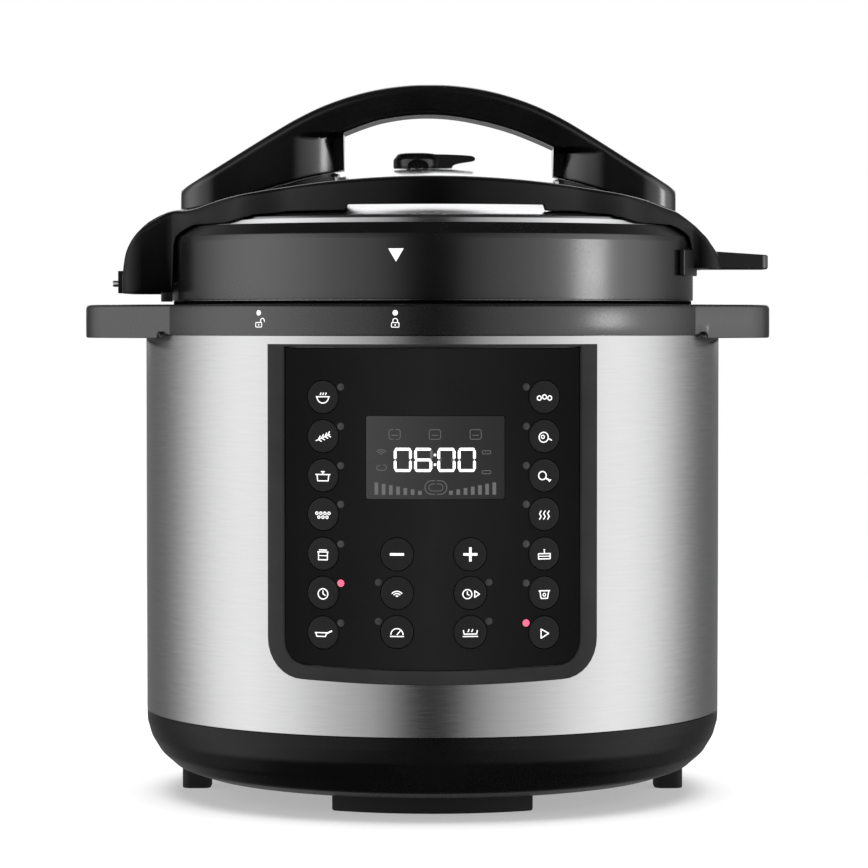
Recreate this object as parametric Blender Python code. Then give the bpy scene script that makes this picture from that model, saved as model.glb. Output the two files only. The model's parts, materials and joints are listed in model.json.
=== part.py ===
"""Electric pressure cooker, 6 litre class: metres, +Z up, front is -Y, ground at z = 0.

All driving dimensions below are in millimetres. The vessel's axis stands at x = AXIS_X, y = AXIS_Y, so that the
origin is the centre of the bounding box's bottom face.
"""

import math

import bmesh
import bpy
from mathutils import Matrix, Vector

for old in list(bpy.data.objects):
    bpy.data.objects.remove(old, do_unlink=True)

# ---------------------------------------------------------------- driving dimensions, mm
PANEL_R = 144.5          # front face of the control panel, from the vessel axis
CUP_REAR = 167.0         # rear face of the condensate cup, from the vessel axis
AXIS_Y = (PANEL_R - CUP_REAR) / 2
HANDLE_TIP_LEFT, HANDLE_TIP_RIGHT = 170.0, 165.3  # reach of the side handles from the vessel axis
AXIS_X = (HANDLE_TIP_LEFT - HANDLE_TIP_RIGHT) / 2

SHELL_R, SHELL_T = 141.5, 0.6
SHELL_Z0, SHELL_Z1 = 40.6, 224.7
BASE_Z = 8.7             # underside of the base bowl
COLLAR_R = 142.5
COLLAR_Z0, COLLAR_Z1 = 225.0, 239.5
HANDLE_X, HANDLE_HALF_Y = 170.0, 39.0

OUTER_POT_R, INNER_POT_R = 118.2, 112.5
POT_RIM_Z = 231.0
LUG_COUNT, LUG_DEG = 6, 24.0

LID_R = 128.8
LID_Z0, LID_Z1 = 241.5, 271.0
SKIRT_R = 127.0
DOME_TOP, DOME_2R = 306.5, 520.0
COVER_R = 112.0          # plan radius of the lid cover
EAR_L, EAR_R_, EAR_HALF = -151.7, 141.0, 34.0
ARCH_TOP, ARCH_2R = 299.3, 1080.0
OPEN_X0, OPEN_X1, OPEN_Y = -46.0, 60.0, 95.0
GRIP_HALF_Y = 18.0
VALVE_X = -7.7
FLOAT_X, FLOAT_Y = 26.0, 16.0
PIN_Z = 250.0
FIN_Z0, FIN_Z1, FIN_SLOPE = 257.0, 266.5, 0.066

PANEL_DEG, INNER_DEG = 32.0, 28.3
PANEL_Z0, PANEL_Z1 = 65.0, 221.0
KEY_R = 7.55
KEY_COLUMNS = {"left": -50.3, "mid_left": -16.2, "mid_right": 17.4, "right": 51.5}
SIDE_ROWS = (196.8, 178.8, 160.8, 143.0, 124.8, 106.8, 88.5)
MID_ROWS = (125.0, 107.3, 89.4)
LCD_X, LCD_Z0, LCD_Z1, LCD_HALF = 1.4, 150.0, 188.5, 32.3

MM = 0.001

# ---------------------------------------------------------------- materials


def material(name, colour, rough, metal=0.0):
    mat = bpy.data.materials.new(name)
    mat.use_nodes = True
    bsdf = mat.node_tree.nodes["Principled BSDF"]
    bsdf.inputs["Base Color"].default_value = (*colour, 1.0)
    bsdf.inputs["Roughness"].default_value = rough
    bsdf.inputs["Metallic"].default_value = metal
    mat.diffuse_color = (*colour, 1.0)
    return mat


BLACK = (0.012, 0.012, 0.013)
DARK = (0.03, 0.03, 0.032)

root = bpy.data.objects.new("cooker_axis", None)
root.location = (AXIS_X * MM, AXIS_Y * MM, 0)
bpy.context.scene.collection.objects.link(root)

# ---------------------------------------------------------------- builders


def finish_mesh(bm, smooth=True):
    bmesh.ops.remove_doubles(bm, verts=bm.verts, dist=1e-6)
    bmesh.ops.recalc_face_normals(bm, faces=bm.faces)
    if bm.calc_volume(signed=True) < 0:
        bmesh.ops.reverse_faces(bm, faces=bm.faces)
    for face in bm.faces:
        face.smooth = smooth


def add(name, bm, mat, pivot=(0, 0, 0), smooth=True, cutter=False):
    """An object from a bmesh in millimetres; its origin goes to pivot."""
    finish_mesh(bm, smooth)
    bmesh.ops.transform(bm, matrix=Matrix.Diagonal((MM, MM, MM, 1)) @ Matrix.Translation(-Vector(pivot)), verts=bm.verts)
    mesh = bpy.data.meshes.new(name)
    bm.to_mesh(mesh)
    bm.free()
    if smooth:
        mesh.set_sharp_from_angle(angle=math.radians(32))
    obj = bpy.data.objects.new(name, mesh)
    bpy.context.scene.collection.objects.link(obj)
    obj.parent = root
    obj.location = Vector(pivot) * MM
    if mat:
        mesh.materials.append(mat)
    if cutter:
        obj.hide_render = True
        obj.display_type = "WIRE"
    return obj


def turned_bm(profile, segs=48, centre=(0, 0)):
    """A closed (r, z) outline turned about a vertical line through centre."""
    bm = bmesh.new()
    verts = [bm.verts.new((r, 0, z)) for r, z in profile]
    edges = []
    for a, b in zip(verts, verts[1:] + verts[:1]):
        if a.co.x > 1e-9 or b.co.x > 1e-9:
            edges.append(bm.edges.new((a, b)))
    bmesh.ops.spin(bm, geom=verts + edges, cent=(0, 0, 0), axis=(0, 0, 1), angle=2 * math.pi, steps=segs, use_merge=True, use_duplicate=False)
    bmesh.ops.remove_doubles(bm, verts=bm.verts, dist=1e-4)
    bmesh.ops.dissolve_degenerate(bm, dist=1e-4, edges=bm.edges)
    bmesh.ops.translate(bm, vec=(centre[0], centre[1], 0), verts=bm.verts)
    return bm


def turned(name, profile, mat, segs=48, centre=(0, 0), pivot=(0, 0, 0), **kw):
    return add(name, turned_bm(profile, segs, centre), mat, pivot, **kw)


def prism_bm(outline, low, high, axis="z"):
    """A flat outline swept along an axis from low to high."""
    bm = bmesh.new()
    if axis == "z":
        put = lambda a, b, c: (a, b, c)
    elif axis == "y":
        put = lambda a, b, c: (a, c, b)
    else:
        put = lambda a, b, c: (c, a, b)
    face = bm.faces.new([bm.verts.new(put(a, b, low)) for a, b in outline])
    out = bmesh.ops.extrude_face_region(bm, geom=[face])
    top = [v for v in out["geom"] if isinstance(v, bmesh.types.BMVert)]
    bmesh.ops.translate(bm, vec=Vector(put(0, 0, high - low)), verts=top)
    return bm


def rounded_rect(x0, x1, y0, y1, r, steps=4):
    pts = []
    for cx, cy, a0 in ((x1 - r, y1 - r, 0), (x0 + r, y1 - r, 90), (x0 + r, y0 + r, 180), (x1 - r, y0 + r, 270)):
        for i in range(steps + 1):
            a = math.radians(a0 + 90 * i / steps)
            pts.append((cx + r * math.cos(a), cy + r * math.sin(a)))
    return pts


def box_bm(x0, x1, y0, y1, z0, z1):
    return prism_bm([(x0, y0), (x1, y0), (x1, y1), (x0, y1)], z0, z1)


def circle(r, cx=0.0, cy=0.0, n=24):
    return [(cx + r * math.cos(2 * math.pi * i / n), cy + r * math.sin(2 * math.pi * i / n)) for i in range(n)]


def merge(*bms):
    """Several closed bodies in one bmesh; only for cutters and Boolean unions."""
    target = bmesh.new()
    for bm in bms:
        mesh = bpy.data.meshes.new("part")
        finish_mesh(bm, False)
        bm.to_mesh(mesh)
        bm.free()
        target.from_mesh(mesh)
        bpy.data.meshes.remove(mesh)
    return target


def cut(obj, bm, operation="DIFFERENCE"):
    """A Boolean with the EXACT solver."""
    helper = add(obj.name + "_" + operation.lower() + str(len(obj.modifiers)), bm, None, smooth=False, cutter=True)
    mod = obj.modifiers.new(operation.title(), "BOOLEAN")
    mod.operation = operation
    mod.solver = "EXACT"
    mod.object = helper
    return obj


def arc_block(r0, r1, z0, z1, mid_deg, half_deg, steps=4):
    """A block between two radii, centred on a bearing; 0 degrees is +X."""
    angles = [math.radians(mid_deg - half_deg + 2 * half_deg * i / steps) for i in range(steps + 1)]
    outline = [(r1 * math.cos(a), r1 * math.sin(a)) for a in angles]
    outline += [(r0 * math.cos(a), r0 * math.sin(a)) for a in reversed(angles)]
    return prism_bm(outline, z0, z1)


def bent(outline, r0, r1, step_deg=6.0):
    """An outline drawn as (degrees from the front, z), as a plate between radii r0 and r1.

    The plate is cut into bands by vertical planes, so that it bends round the vessel."""
    bm = bmesh.new()
    face = bm.faces.new([bm.verts.new((d, 0, z)) for d, z in outline])
    lo = min(d for d, _ in outline)
    hi = max(d for d, _ in outline)
    n = max(1, int(round((hi - lo) / step_deg)))
    for i in range(1, n):
        at = lo + (hi - lo) * i / n
        bmesh.ops.bisect_plane(bm, geom=list(bm.verts) + list(bm.edges) + list(bm.faces), plane_co=(at, 0, 0), plane_no=(1, 0, 0), dist=1e-5)
    back = bmesh.ops.duplicate(bm, geom=list(bm.verts) + list(bm.edges) + list(bm.faces))
    vert_map = back["vert_map"]
    originals = [v for v in bm.verts if v in vert_map and vert_map[v] in bm.verts]
    new_verts = {e for e in back["geom"] if isinstance(e, bmesh.types.BMVert)}
    front = [v for v in bm.verts if v not in new_verts]
    rim = [e for e in bm.edges if len(e.link_faces) == 1 and e.verts[0] not in new_verts]
    for edge in rim:
        a, b = edge.verts
        bm.faces.new((a, b, vert_map[b], vert_map[a]))
    for v in bm.verts:
        r = r0 if v in new_verts else r1
        a = math.radians(v.co.x)
        v.co = Vector((r * math.sin(a), -r * math.cos(a), v.co.z))
    return bm


def plate(outline, r0, r1, step_deg=6.0):
    return bent(outline, r0, r1, step_deg)


def at_panel(x, r=PANEL_R):
    return math.degrees(math.asin(x / r))


# ---------------------------------------------------------------- base group
steel = material("brushed_steel", (0.62, 0.62, 0.63), 0.3, 1.0)
plastic = material("black_plastic", BLACK, 0.35)

base = turned(
    "base_housing",
    [(0, 8.7), (114, 8.7), (126.5, 12.5), (134.5, 19.9), (139, 27.3), (141.3, 34.7), (141.5, 40.3), (140.6, 40.3), (140.6, 48),
     (138.4, 48), (138.4, 36), (136.4, 28.6), (132.2, 21.8), (125, 15), (113.4, 11.2), (0, 11.2)],
    plastic,
)
vents = [box_bm(-22, 22, y - 1.5, y + 1.5, 6, 14) for y in (-30, -20, -10, 0, 10, 20, 30)]
cut(base, merge(*vents))
cut(base, box_bm(-15.5, 15.5, 118, 150, 16.2, 37.8))

rubber = material("foot_rubber", (0.02, 0.02, 0.02), 0.8)
add("foot_front", arc_block(84, 102, 0, BASE_Z - 0.3, -90, 28, 6), rubber, smooth=False)
add("foot_rear", arc_block(84, 102, 0, BASE_Z - 0.3, 90, 28, 6), rubber, smooth=False)
for side, sign in (("left", -1), ("right", 1)):
    lo, hi = sorted((sign * 110, sign * 124))
    foot = add("foot_" + side, prism_bm(rounded_rect(lo, hi, -9, 9, 4, 3), 0, 14.0), rubber, smooth=False)
    cut(foot, turned_bm([(0, 8.4), (114.1, 8.4), (126.7, 12.2), (134.8, 19.7), (139, 26), (0, 26)], 48))

shell = turned(
    "outer_shell",
    [(SHELL_R, SHELL_Z0), (SHELL_R, SHELL_Z1), (SHELL_R - SHELL_T, SHELL_Z1), (SHELL_R - SHELL_T, SHELL_Z0)],
    material("shell_steel", (0.6, 0.6, 0.61), 0.3, 1.0),
)
cut(shell, box_bm(-60.8, 60.8, -160, -100, 78.5, 208))

collar = turned(
    "collar_ring",
    [(140.6, 216), (140.6, COLLAR_Z0), (COLLAR_R, COLLAR_Z0), (COLLAR_R, 238.6), (141.6, COLLAR_Z1), (131.6, COLLAR_Z1),
     (129.6, 237.5), (129.6, 221), (118.9, 221), (118.9, 218.5), (138.4, 218.5), (138.4, 216)],
    material("collar_plastic", BLACK, 0.35),
)
# the side handles widen towards the ring, so each looks like a gusset from above
TANGENT = 123.5
for sign, tip in ((-1, HANDLE_TIP_LEFT), (1, HANDLE_TIP_RIGHT)):
    outline = [(TANGENT, -69.2), (160, -38.5), (165, -33.6), (168.3, -28.5), (169.7, -23), (170, -17)]
    outline = [(TANGENT + (x - TANGENT) * (tip - TANGENT) / (170 - TANGENT), y) for x, y in outline]
    outline += [(x, -y) for x, y in reversed(outline)]
    outline = [(sign * x, y) for x, y in outline]
    cut(collar, prism_bm(outline, 223.3, COLLAR_Z1), "UNION")
cut(collar, merge(prism_bm(rounded_rect(-162, -150, -16, 16, 2, 2), 215, 245), prism_bm(rounded_rect(147, 158.5, -16, 16, 2, 2), 215, 245)))
cut(collar, turned_bm([(0, 200), (138.4, 200), (138.4, 218.5), (118.9, 218.5), (118.9, 221), (129.6, 221), (129.6, 237.5), (131.6, 239.5), (131.6, 250), (0, 250)], 48))
# the steel shell's top edge runs in a groove under the side handles
cut(collar, turned_bm([(140.6, 200), (142.0, 200), (142.0, 225.0), (140.6, 225.0)], 48))

# ---------------------------------------------------------------- heating group
alu = material("cast_aluminium", (0.55, 0.55, 0.56), 0.4, 1.0)
pot_out = turned(
    "outer_pot",
    [(5.8, 46.5), (112, 46.5), (OUTER_POT_R, 52), (OUTER_POT_R, 221.4), (123.5, 221.4), (123.5, 222.8), (OUTER_POT_R, 222.8),
     (OUTER_POT_R, 235), (117, 235), (117, 52.6), (111.5, 48), (5.8, 48)],
    material("outer_pot_metal", (0.5, 0.5, 0.51), 0.35, 1.0), segs=40,
)
cut(pot_out, merge(*[arc_block(117.4, 124.7, 232, 235, 60 * i, LUG_DEG / 2) for i in range(LUG_COUNT)]), "UNION")
turned("heating_plate", [(14, 50), (98, 50), (100, 52), (100, 58), (90, 61), (60, 62), (14, 62)], alu, segs=32)
turned("temp_sensor", [(0, 49.4), (5, 49.4), (5, 55), (12, 55), (12.6, 56), (12.6, 61.4), (11.5, 62.2), (0, 62.2)],
       material("sensor_cap", (0.6, 0.6, 0.62), 0.3, 1.0), segs=24, pivot=(0, 0, 55))


def coil(name, radius, wire, z0, z1, turns, mat, sides=4, per_turn=10):
    """A helical spring whose wire has the given radius."""
    bm = bmesh.new()
    rings = []
    n = turns * per_turn
    for i in range(n + 1):
        a = 2 * math.pi * i / per_turn
        z = z0 + wire + (z1 - z0 - 2 * wire) * i / n
        ring = []
        for k in range(sides):
            b = 2 * math.pi * k / sides
            r = radius + wire * math.cos(b)
            ring.append(bm.verts.new((r * math.cos(a), r * math.sin(a), z + wire * math.sin(b))))
        rings.append(ring)
    for one, two in zip(rings, rings[1:]):
        for k in range(sides):
            bm.faces.new((one[k], one[(k + 1) % sides], two[(k + 1) % sides], two[k]))
    bm.faces.new(list(reversed(rings[0])))
    bm.faces.new(rings[-1])
    return add(name, bm, mat, pivot=(0, 0, z0))


coil("sensor_spring", 8.0, 0.5, 48.3, 54.7, 3, material("spring_steel", (0.5, 0.5, 0.5), 0.3, 1.0))
turned(
    "inner_pot",
    [(0, 62.5), (104, 62.5), (109, 64.5), (INNER_POT_R - 0.6, 70), (INNER_POT_R, 76), (INNER_POT_R, 228.4), (116.2, 229.6), (116.2, POT_RIM_Z),
     (INNER_POT_R - 0.4, POT_RIM_Z), (INNER_POT_R - 1.2, 229.6), (INNER_POT_R - 1.2, 76), (110.5, 70.5), (108, 66), (103.5, 64), (0, 64)],
    material("inner_pot_steel", (0.66, 0.66, 0.67), 0.2, 1.0), segs=40,
)
board = add("power_board", box_bm(-46, 46, 40, 96, 14.5, 16.1), material("circuit_board", (0.02, 0.12, 0.05), 0.5), smooth=False)
cut(board, merge(box_bm(-30, -6, 48, 72, 15.5, 34), box_bm(10, 26, 60, 84, 15.5, 30)), "UNION")
add("pressure_switch", box_bm(54, 78, -9, 9, 30, 44.5), material("switch_plastic", (0.5, 0.48, 0.42), 0.5), smooth=False)
inlet = add("power_inlet", box_bm(-15, 15, 112, 138.3, 16.7, 37.3), material("inlet_plastic", BLACK, 0.4), smooth=False)
cut(inlet, box_bm(-12, 12, 122, 145, 19.5, 34.5))
cut(inlet, merge(*[box_bm(x - 2, x + 2, 121, 134, z - 1.1, z + 1.1) for x, z in ((-7, 25), (7, 25), (0, 30))]), "UNION")

# ---------------------------------------------------------------- condensate cup at the rear
bracket = add("cup_bracket", box_bm(-27, 27, 134, 145, 172, 214), material("bracket_plastic", BLACK, 0.4), smooth=False)
cut(bracket, turned_bm([(0, 160), (141.9, 160), (141.9, 230), (0, 230)], 48))
cup = add("condensate_cup", prism_bm(rounded_rect(-30, 30, 145.3, CUP_REAR, 5, 3), 168, 216), material("cup_plastic", (0.05, 0.05, 0.055), 0.2), pivot=(0, 145.3, 190), smooth=False)
cut(cup, prism_bm(rounded_rect(-28, 28, 147.3, CUP_REAR - 2, 3.5, 3), 170.2, 225))

# ---------------------------------------------------------------- control panel
glossy = material("panel_gloss", (0.02, 0.02, 0.021), 0.12)


def panel_outline(half_deg, z0, z1, corner, bow):
    """Square top corners, round bottom corners, and a bottom edge that bows down in the middle."""
    per = math.degrees(1 / PANEL_R)
    pts = [(half_deg, z1), (-half_deg, z1)]
    for a in (0, 30, 60, 90):
        t = math.radians(a)
        pts.append((-half_deg + corner * per * (1 - math.cos(t)), z0 + corner * (1 - math.sin(t))))
    for i in range(1, 4):
        f = i / 4
        d = (-half_deg + corner * per) * (1 - 2 * f)
        pts.append((d, z0 - bow * math.sin(math.pi * f)))
    for a in (90, 60, 30, 0):
        t = math.radians(a)
        pts.append((half_deg - corner * per * (1 - math.cos(t)), z0 + corner * (1 - math.sin(t))))
    return pts


frame = add("panel_frame", plate(panel_outline(PANEL_DEG, PANEL_Z0 + 1.5, PANEL_Z1, 18, 1.5), 141.9, PANEL_R), material("frame_plastic", DARK, 0.3))
cut(frame, plate(panel_outline(INNER_DEG, 73.0, 219.9, 11, 1.5), 138, 150))
overlay = add("panel_overlay", plate(panel_outline(INNER_DEG - 0.15, 73.4, 219.5, 10.7, 1.5), 142.2, 144.1), glossy)


def rod_towards(x, z, radius, r0, r1, n=12):
    """A round bar along the radial line through (x, z) on the panel."""
    a = math.asin(x / PANEL_R)
    bm = bmesh.new()
    out = Vector((math.sin(a), -math.cos(a), 0))
    side = Vector((math.cos(a), math.sin(a), 0))
    rings = []
    for r in (r0, r1):
        rings.append([bm.verts.new(out * r + side * (radius * math.cos(2 * math.pi * k / n)) + Vector((0, 0, z + radius * math.sin(2 * math.pi * k / n)))) for k in range(n)])
    bm.faces.new(list(reversed(rings[0])))
    bm.faces.new(rings[1])
    for k in range(n):
        bm.faces.new((rings[0][k], rings[0][(k + 1) % n], rings[1][(k + 1) % n], rings[1][k]))
    return bm


keys = []
for side in ("left", "right"):
    keys += [(f"key_{side}_{i + 1}", KEY_COLUMNS[side], z) for i, z in enumerate(SIDE_ROWS)]
for side in ("mid_left", "mid_right"):
    keys += [(f"key_{side}_{i + 1}", KEY_COLUMNS[side], z) for i, z in enumerate(MID_ROWS)]
lcd_a = (at_panel(LCD_X - LCD_HALF), at_panel(LCD_X + LCD_HALF))
cut(overlay, merge(*[rod_towards(x, z, KEY_R + 0.35, 138, 150) for _, x, z in keys],
                   plate([(lcd_a[1], LCD_Z1), (lcd_a[0], LCD_Z1), (lcd_a[0], LCD_Z0), (lcd_a[1], LCD_Z0)], 138, 150)))
inset = 0.14
add("lcd_window", plate([(lcd_a[1] - inset, LCD_Z1 - 0.3), (lcd_a[0] + inset, LCD_Z1 - 0.3), (lcd_a[0] + inset, LCD_Z0 + 0.3), (lcd_a[1] - inset, LCD_Z0 + 0.3)], 142.8, 144.0),
    material("lcd_glass", (0.06, 0.06, 0.065), 0.15))
add("lcd_module", box_bm(LCD_X - 30, LCD_X + 30, -138.4, -133.4, 150.5, 188), material("lcd_body", (0.3, 0.3, 0.32), 0.4), smooth=False)
add("control_board", box_bm(-44, 44, -132.4, -130.8, 78, 212), material("control_board_green", (0.02, 0.12, 0.05), 0.5), smooth=False)
key_mat = material("key_plastic", (0.025, 0.025, 0.026), 0.25)
for name, x, z in keys:
    a = math.asin(x / PANEL_R)
    add(name, rod_towards(x, z, KEY_R, 142.6, 144.35), key_mat, pivot=(142.6 * math.sin(a), -142.6 * math.cos(a), z))

# ---------------------------------------------------------------- lid


def dome_z(r):
    return DOME_TOP - r * r / DOME_2R


dome_r = (30, 60, 88, 114)
dome = turned(
    "lid_dome",
    [(0, DOME_TOP)] + [(r, dome_z(r)) for r in dome_r] +
    [(117, 280.6), (118, 279.2), (118, 275.2), (126.7, 261.5), (SKIRT_R, 258), (SKIRT_R, 224.5), (125.5, 224.5), (125.5, 257.5), (125.1, 261),
     (116.5, 274.6), (116.5, 278.6), (113.4, 280.0)] + [(r, dome_z(r) - 1.5) for r in reversed(dome_r[:-1])] + [(0, DOME_TOP - 1.5)],
    material("lid_steel", (0.7, 0.7, 0.71), 0.22, 1.0),
)
cut(dome, merge(*[arc_block(119.6, 126.2, 226, 229, 60 * i, LUG_DEG / 2) for i in range(LUG_COUNT)]), "UNION")
cut(dome, merge(prism_bm(circle(5.5, VALVE_X, 0, 16), 296, 312), prism_bm(circle(4.1, FLOAT_X, FLOAT_Y, 16), 296, 312)))
turned("lid_ring", [(LID_R - 0.6, LID_Z0), (LID_R, LID_Z0), (LID_R, LID_Z1 - 1), (LID_R - 1.2, LID_Z1 + 1.6), (122.4, 277.6), (118.7, 277.2), (118.7, 275.9), (127.4, 262.2), (127.4, 236.5), (LID_R - 0.6, 236.5)],
       material("lid_ring_plastic", BLACK, 0.3))
inner_lid = turned("inner_lid", [(0, 262), (60, 258), (100, 249), (109, 247), (124.6, 247), (124.6, 243), (123.4, 243), (123.4, 245.8), (108.5, 245.8), (99.6, 247.8), (59.7, 256.8), (0, 260.8)],
                   material("inner_lid_steel", (0.66, 0.66, 0.67), 0.25, 1.0), segs=40)
cut(inner_lid, merge(prism_bm(circle(5.5, VALVE_X, 0, 16), 250, 270), prism_bm(circle(4.1, FLOAT_X, FLOAT_Y, 16), 250, 270)))
turned("sealing_ring", [(110.6, 233.5), (113, 231.4), (115.6, 231.4), (116.2, 236.5), (122.6, 237.5), (122.6, 245.4), (110.0, 245.4), (110.0, 236)],
       material("silicone", (0.75, 0.75, 0.73), 0.6), segs=40)
turned("seal_rack", [(105.4, 238), (109.4, 238), (109.4, 239.4), (106.8, 239.4), (106.8, 244.6), (105.4, 244.6)], material("rack_steel", (0.6, 0.6, 0.6), 0.3, 1.0), segs=32)
turned("exhaust_pipe", [(2, 254), (9, 254), (9, 257), (5, 257), (5, 309.5), (2, 309.5)], material("pipe_steel", (0.6, 0.6, 0.6), 0.3, 1.0), segs=20, centre=(VALVE_X, 0), pivot=(VALVE_X, 0, 257))
turned("anti_block_shield", [(0, 243), (10.5, 243), (10.5, 253.6), (9.3, 253.6), (9.3, 244.2), (0, 244.2)], material("shield_steel", (0.6, 0.6, 0.6), 0.3, 1.0), segs=20, centre=(VALVE_X, 0), pivot=(VALVE_X, 0, 254))
valve = turned(
    "steam_release_cap",
    [(5.4, 307.2), (11.2, 307.2), (11.6, 308), (11.6, 311.6), (11.0, 313.2), (9.4, 314.2), (8.4, 314.5), (0, 314.5), (0, 310.4), (5.4, 310.4)],
    material("valve_plastic", BLACK, 0.35), segs=24, centre=(VALVE_X, 0), pivot=(VALVE_X, 0, 307),
)
lever = [(VALVE_X + 8, 307.4), (2.6, 307.4), (2.6, 308.6), (10, 310.2), (20.4, 310.9), (21.4, 311.8), (20.6, 313.0), (16, 313.4), (VALVE_X + 8, 313.4)]
cut(valve, prism_bm([(x, z) for x, z in lever], -4.5, 4.5, "y"), "UNION")
turned("float_valve", [(0, 251.5), (6, 251.5), (6, 253.5), (3.6, 253.5), (3.6, 305.0), (0, 305.0)], material("float_metal", (0.6, 0.6, 0.6), 0.3, 1.0), segs=16, centre=(FLOAT_X, FLOAT_Y), pivot=(FLOAT_X, FLOAT_Y, 255))
turned("float_seal", [(3.9, 253.8), (6, 253.8), (6, 255.2), (3.9, 255.2)], material("float_silicone", (0.7, 0.7, 0.68), 0.6), segs=16, centre=(FLOAT_X, FLOAT_Y), pivot=(FLOAT_X, FLOAT_Y, 255))

# ---------------------------------------------------------------- lid cover: an arched plate with a bar front and rear and an ear at each side
EAR_LEFT = ((123, 287.0), (129, 285.6), (134.4, 283.2), (138.3, 280.8), (141.2, 278.4), (143.7, 275.9), (145.6, 273.5), (147.1, 271.0), (148.5, 268.6), (150.5, 263.7), (151.7, 256.4))
EAR_RIGHT = ((112, 287.4), (118.5, 285.7), (122.3, 283.2), (125.7, 280.8), (128.7, 278.4), (131.0, 275.9), (133.5, 273.5), (135.0, 271.0), (137.6, 267.3), (139.6, 264.4), (141, 261.8))


def along(table, x):
    if x <= table[0][0]:
        return table[0][1]
    for (xa, za), (xb, zb) in zip(table, table[1:]):
        if x <= xb:
            return za + (zb - za) * (x - xa) / (xb - xa)
    return table[-1][1]


def cover_top(x, y):
    arch = ARCH_TOP - x * x / ARCH_2R
    table = EAR_LEFT if x < 0 else EAR_RIGHT
    if abs(x) > table[0][0]:
        arch = along(table, abs(x)) - 0.002 * y * y
    over = dome_z(math.hypot(x, y)) + 3.0 if math.hypot(x, y) < 116 else -1e9
    return max(arch, over)


def cover_outline():
    """Plan points round the cover, with the height of the wall's lower edge at each."""
    x_ring = math.sqrt((LID_R + 1.6) ** 2 - EAR_HALF ** 2)
    low, relief = 283.6, 286.2
    pts = []

    def ear(sign, x_end, bottom):
        half = [(105.0, 60.0, 278.3), (110.5, 52.3, 278.3), (115.5, 44.8, 278.3), (121.0, 38.0, 278.2), (x_ring, EAR_HALF, 277.2), (x_ring + 0.3, EAR_HALF, bottom)]
        half += [(x_end - 9 + 9 * math.sin(math.radians(a)), EAR_HALF - 9 + 9 * math.cos(math.radians(a)), bottom) for a in (0, 30, 60, 90)]
        half += [(x_end, EAR_HALF / 2 - 4, bottom)]
        return half

    right = ear(1, EAR_R_, 257.4)
    left = ear(-1, -EAR_L, 244.9)
    # counter-clockwise from the right ear's middle
    pts += [(x, y, z) for x, y, z in reversed(right)]
    # towards each ear the wall flares out over the dome's rim
    flare = ((38.0, 120.9, 278.3), (39.5, 120.9, 281.4), (43.5, 118.2, 281.9), (47.5, 114.6, 282.9))
    flare = [(r * math.cos(math.radians(a)), r * math.sin(math.radians(a)), z) for a, r, z in flare]
    arc = list(flare)
    for i in range(17):
        a = math.radians(51 + 78 * i / 16)
        x, y = COVER_R * math.cos(a), COVER_R * math.sin(a)
        arc.append((x, y, relief if -40 < x < 52.5 else low))
    arc += [(-x, y, z) for x, y, z in reversed(flare)]
    pts += arc
    pts += [(-x, y, z) for x, y, z in left]
    pts += [(-x, -y, z) for x, y, z in reversed(left)]
    pts += [(x, -y, z) for x, y, z in reversed(arc)]
    pts += [(x, -y, z) for x, y, z in right]
    return pts


def opening_radius(a):
    """Distance from the middle of the cover's opening to its edge, along bearing a."""
    c, s = math.cos(a), math.sin(a)
    cx = (OPEN_X0 + OPEN_X1) / 2
    hx = (OPEN_X1 - OPEN_X0) / 2
    n = 8.0
    return 1.0 / ((abs(c) / hx) ** n + (abs(s) / OPEN_Y) ** n) ** (1 / n), cx


def build_cover():
    pts = cover_outline()
    n = len(pts)
    bm = bmesh.new()
    wall = 2.0
    loops = []
    for i, (x, y, low) in enumerate(pts):
        px, py, _ = pts[i - 1]
        nx, ny, _ = pts[(i + 1) % n]
        tx, ty = nx - px, ny - py
        length = math.hypot(tx, ty)
        ox, oy = ty / length, -tx / length
        ix, iy = x - ox * wall, y - oy * wall
        cx = (OPEN_X0 + OPEN_X1) / 2
        a = math.atan2(y, x - cx)
        q, cx = opening_radius(a)
        qx, qy = cx + q * math.cos(a), q * math.sin(a)
        loop = [(qx, qy, cover_top(qx, qy))]
        under = [(qx, qy, cover_top(qx, qy) - 2.0)]
        for t in (0.4, 0.7, 0.82, 0.92):
            mx, my = qx + (ix - qx) * t, qy + (iy - qy) * t
            top = cover_top(mx, my)
            loop.append((mx, my, top))
            under.append((mx, my, top - 2.0))
        top_i = cover_top(ix, iy)
        top_o = cover_top(x, y)
        loop.append((ix, iy, top_i))
        loop.append((x, y, min(top_i, top_o) - 0.8))
        loop.append((x, y, low))
        loop.append((ix, iy, low))
        loop.append((ix, iy, max(top_i - 3.0, low + 0.2)))
        loop += list(reversed(under))
        loops.append([bm.verts.new(p) for p in loop])
    m = len(loops[0])
    for i in range(n):
        a, b = loops[i], loops[(i + 1) % n]
        for k in range(m):
            bm.faces.new((a[k], b[k], b[(k + 1) % m], a[(k + 1) % m]))
    return bm


cover = add("lid_cover", build_cover(), material("cover_plastic", BLACK, 0.3))
cut(cover, merge(box_bm(-132.1, -126.6, -34, -30.6, 240.9, 246.5), box_bm(-155.2, -150.7, -8, 8, 245.2, 256.3)), "UNION")
cut(cover, prism_bm(circle(2.1, 0, PIN_Z, 12), -160, -140, "x"))
cut(cover, box_bm(134.9, 150, -15.6, 15.6, 250, FIN_Z1 + 0.4))

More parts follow.
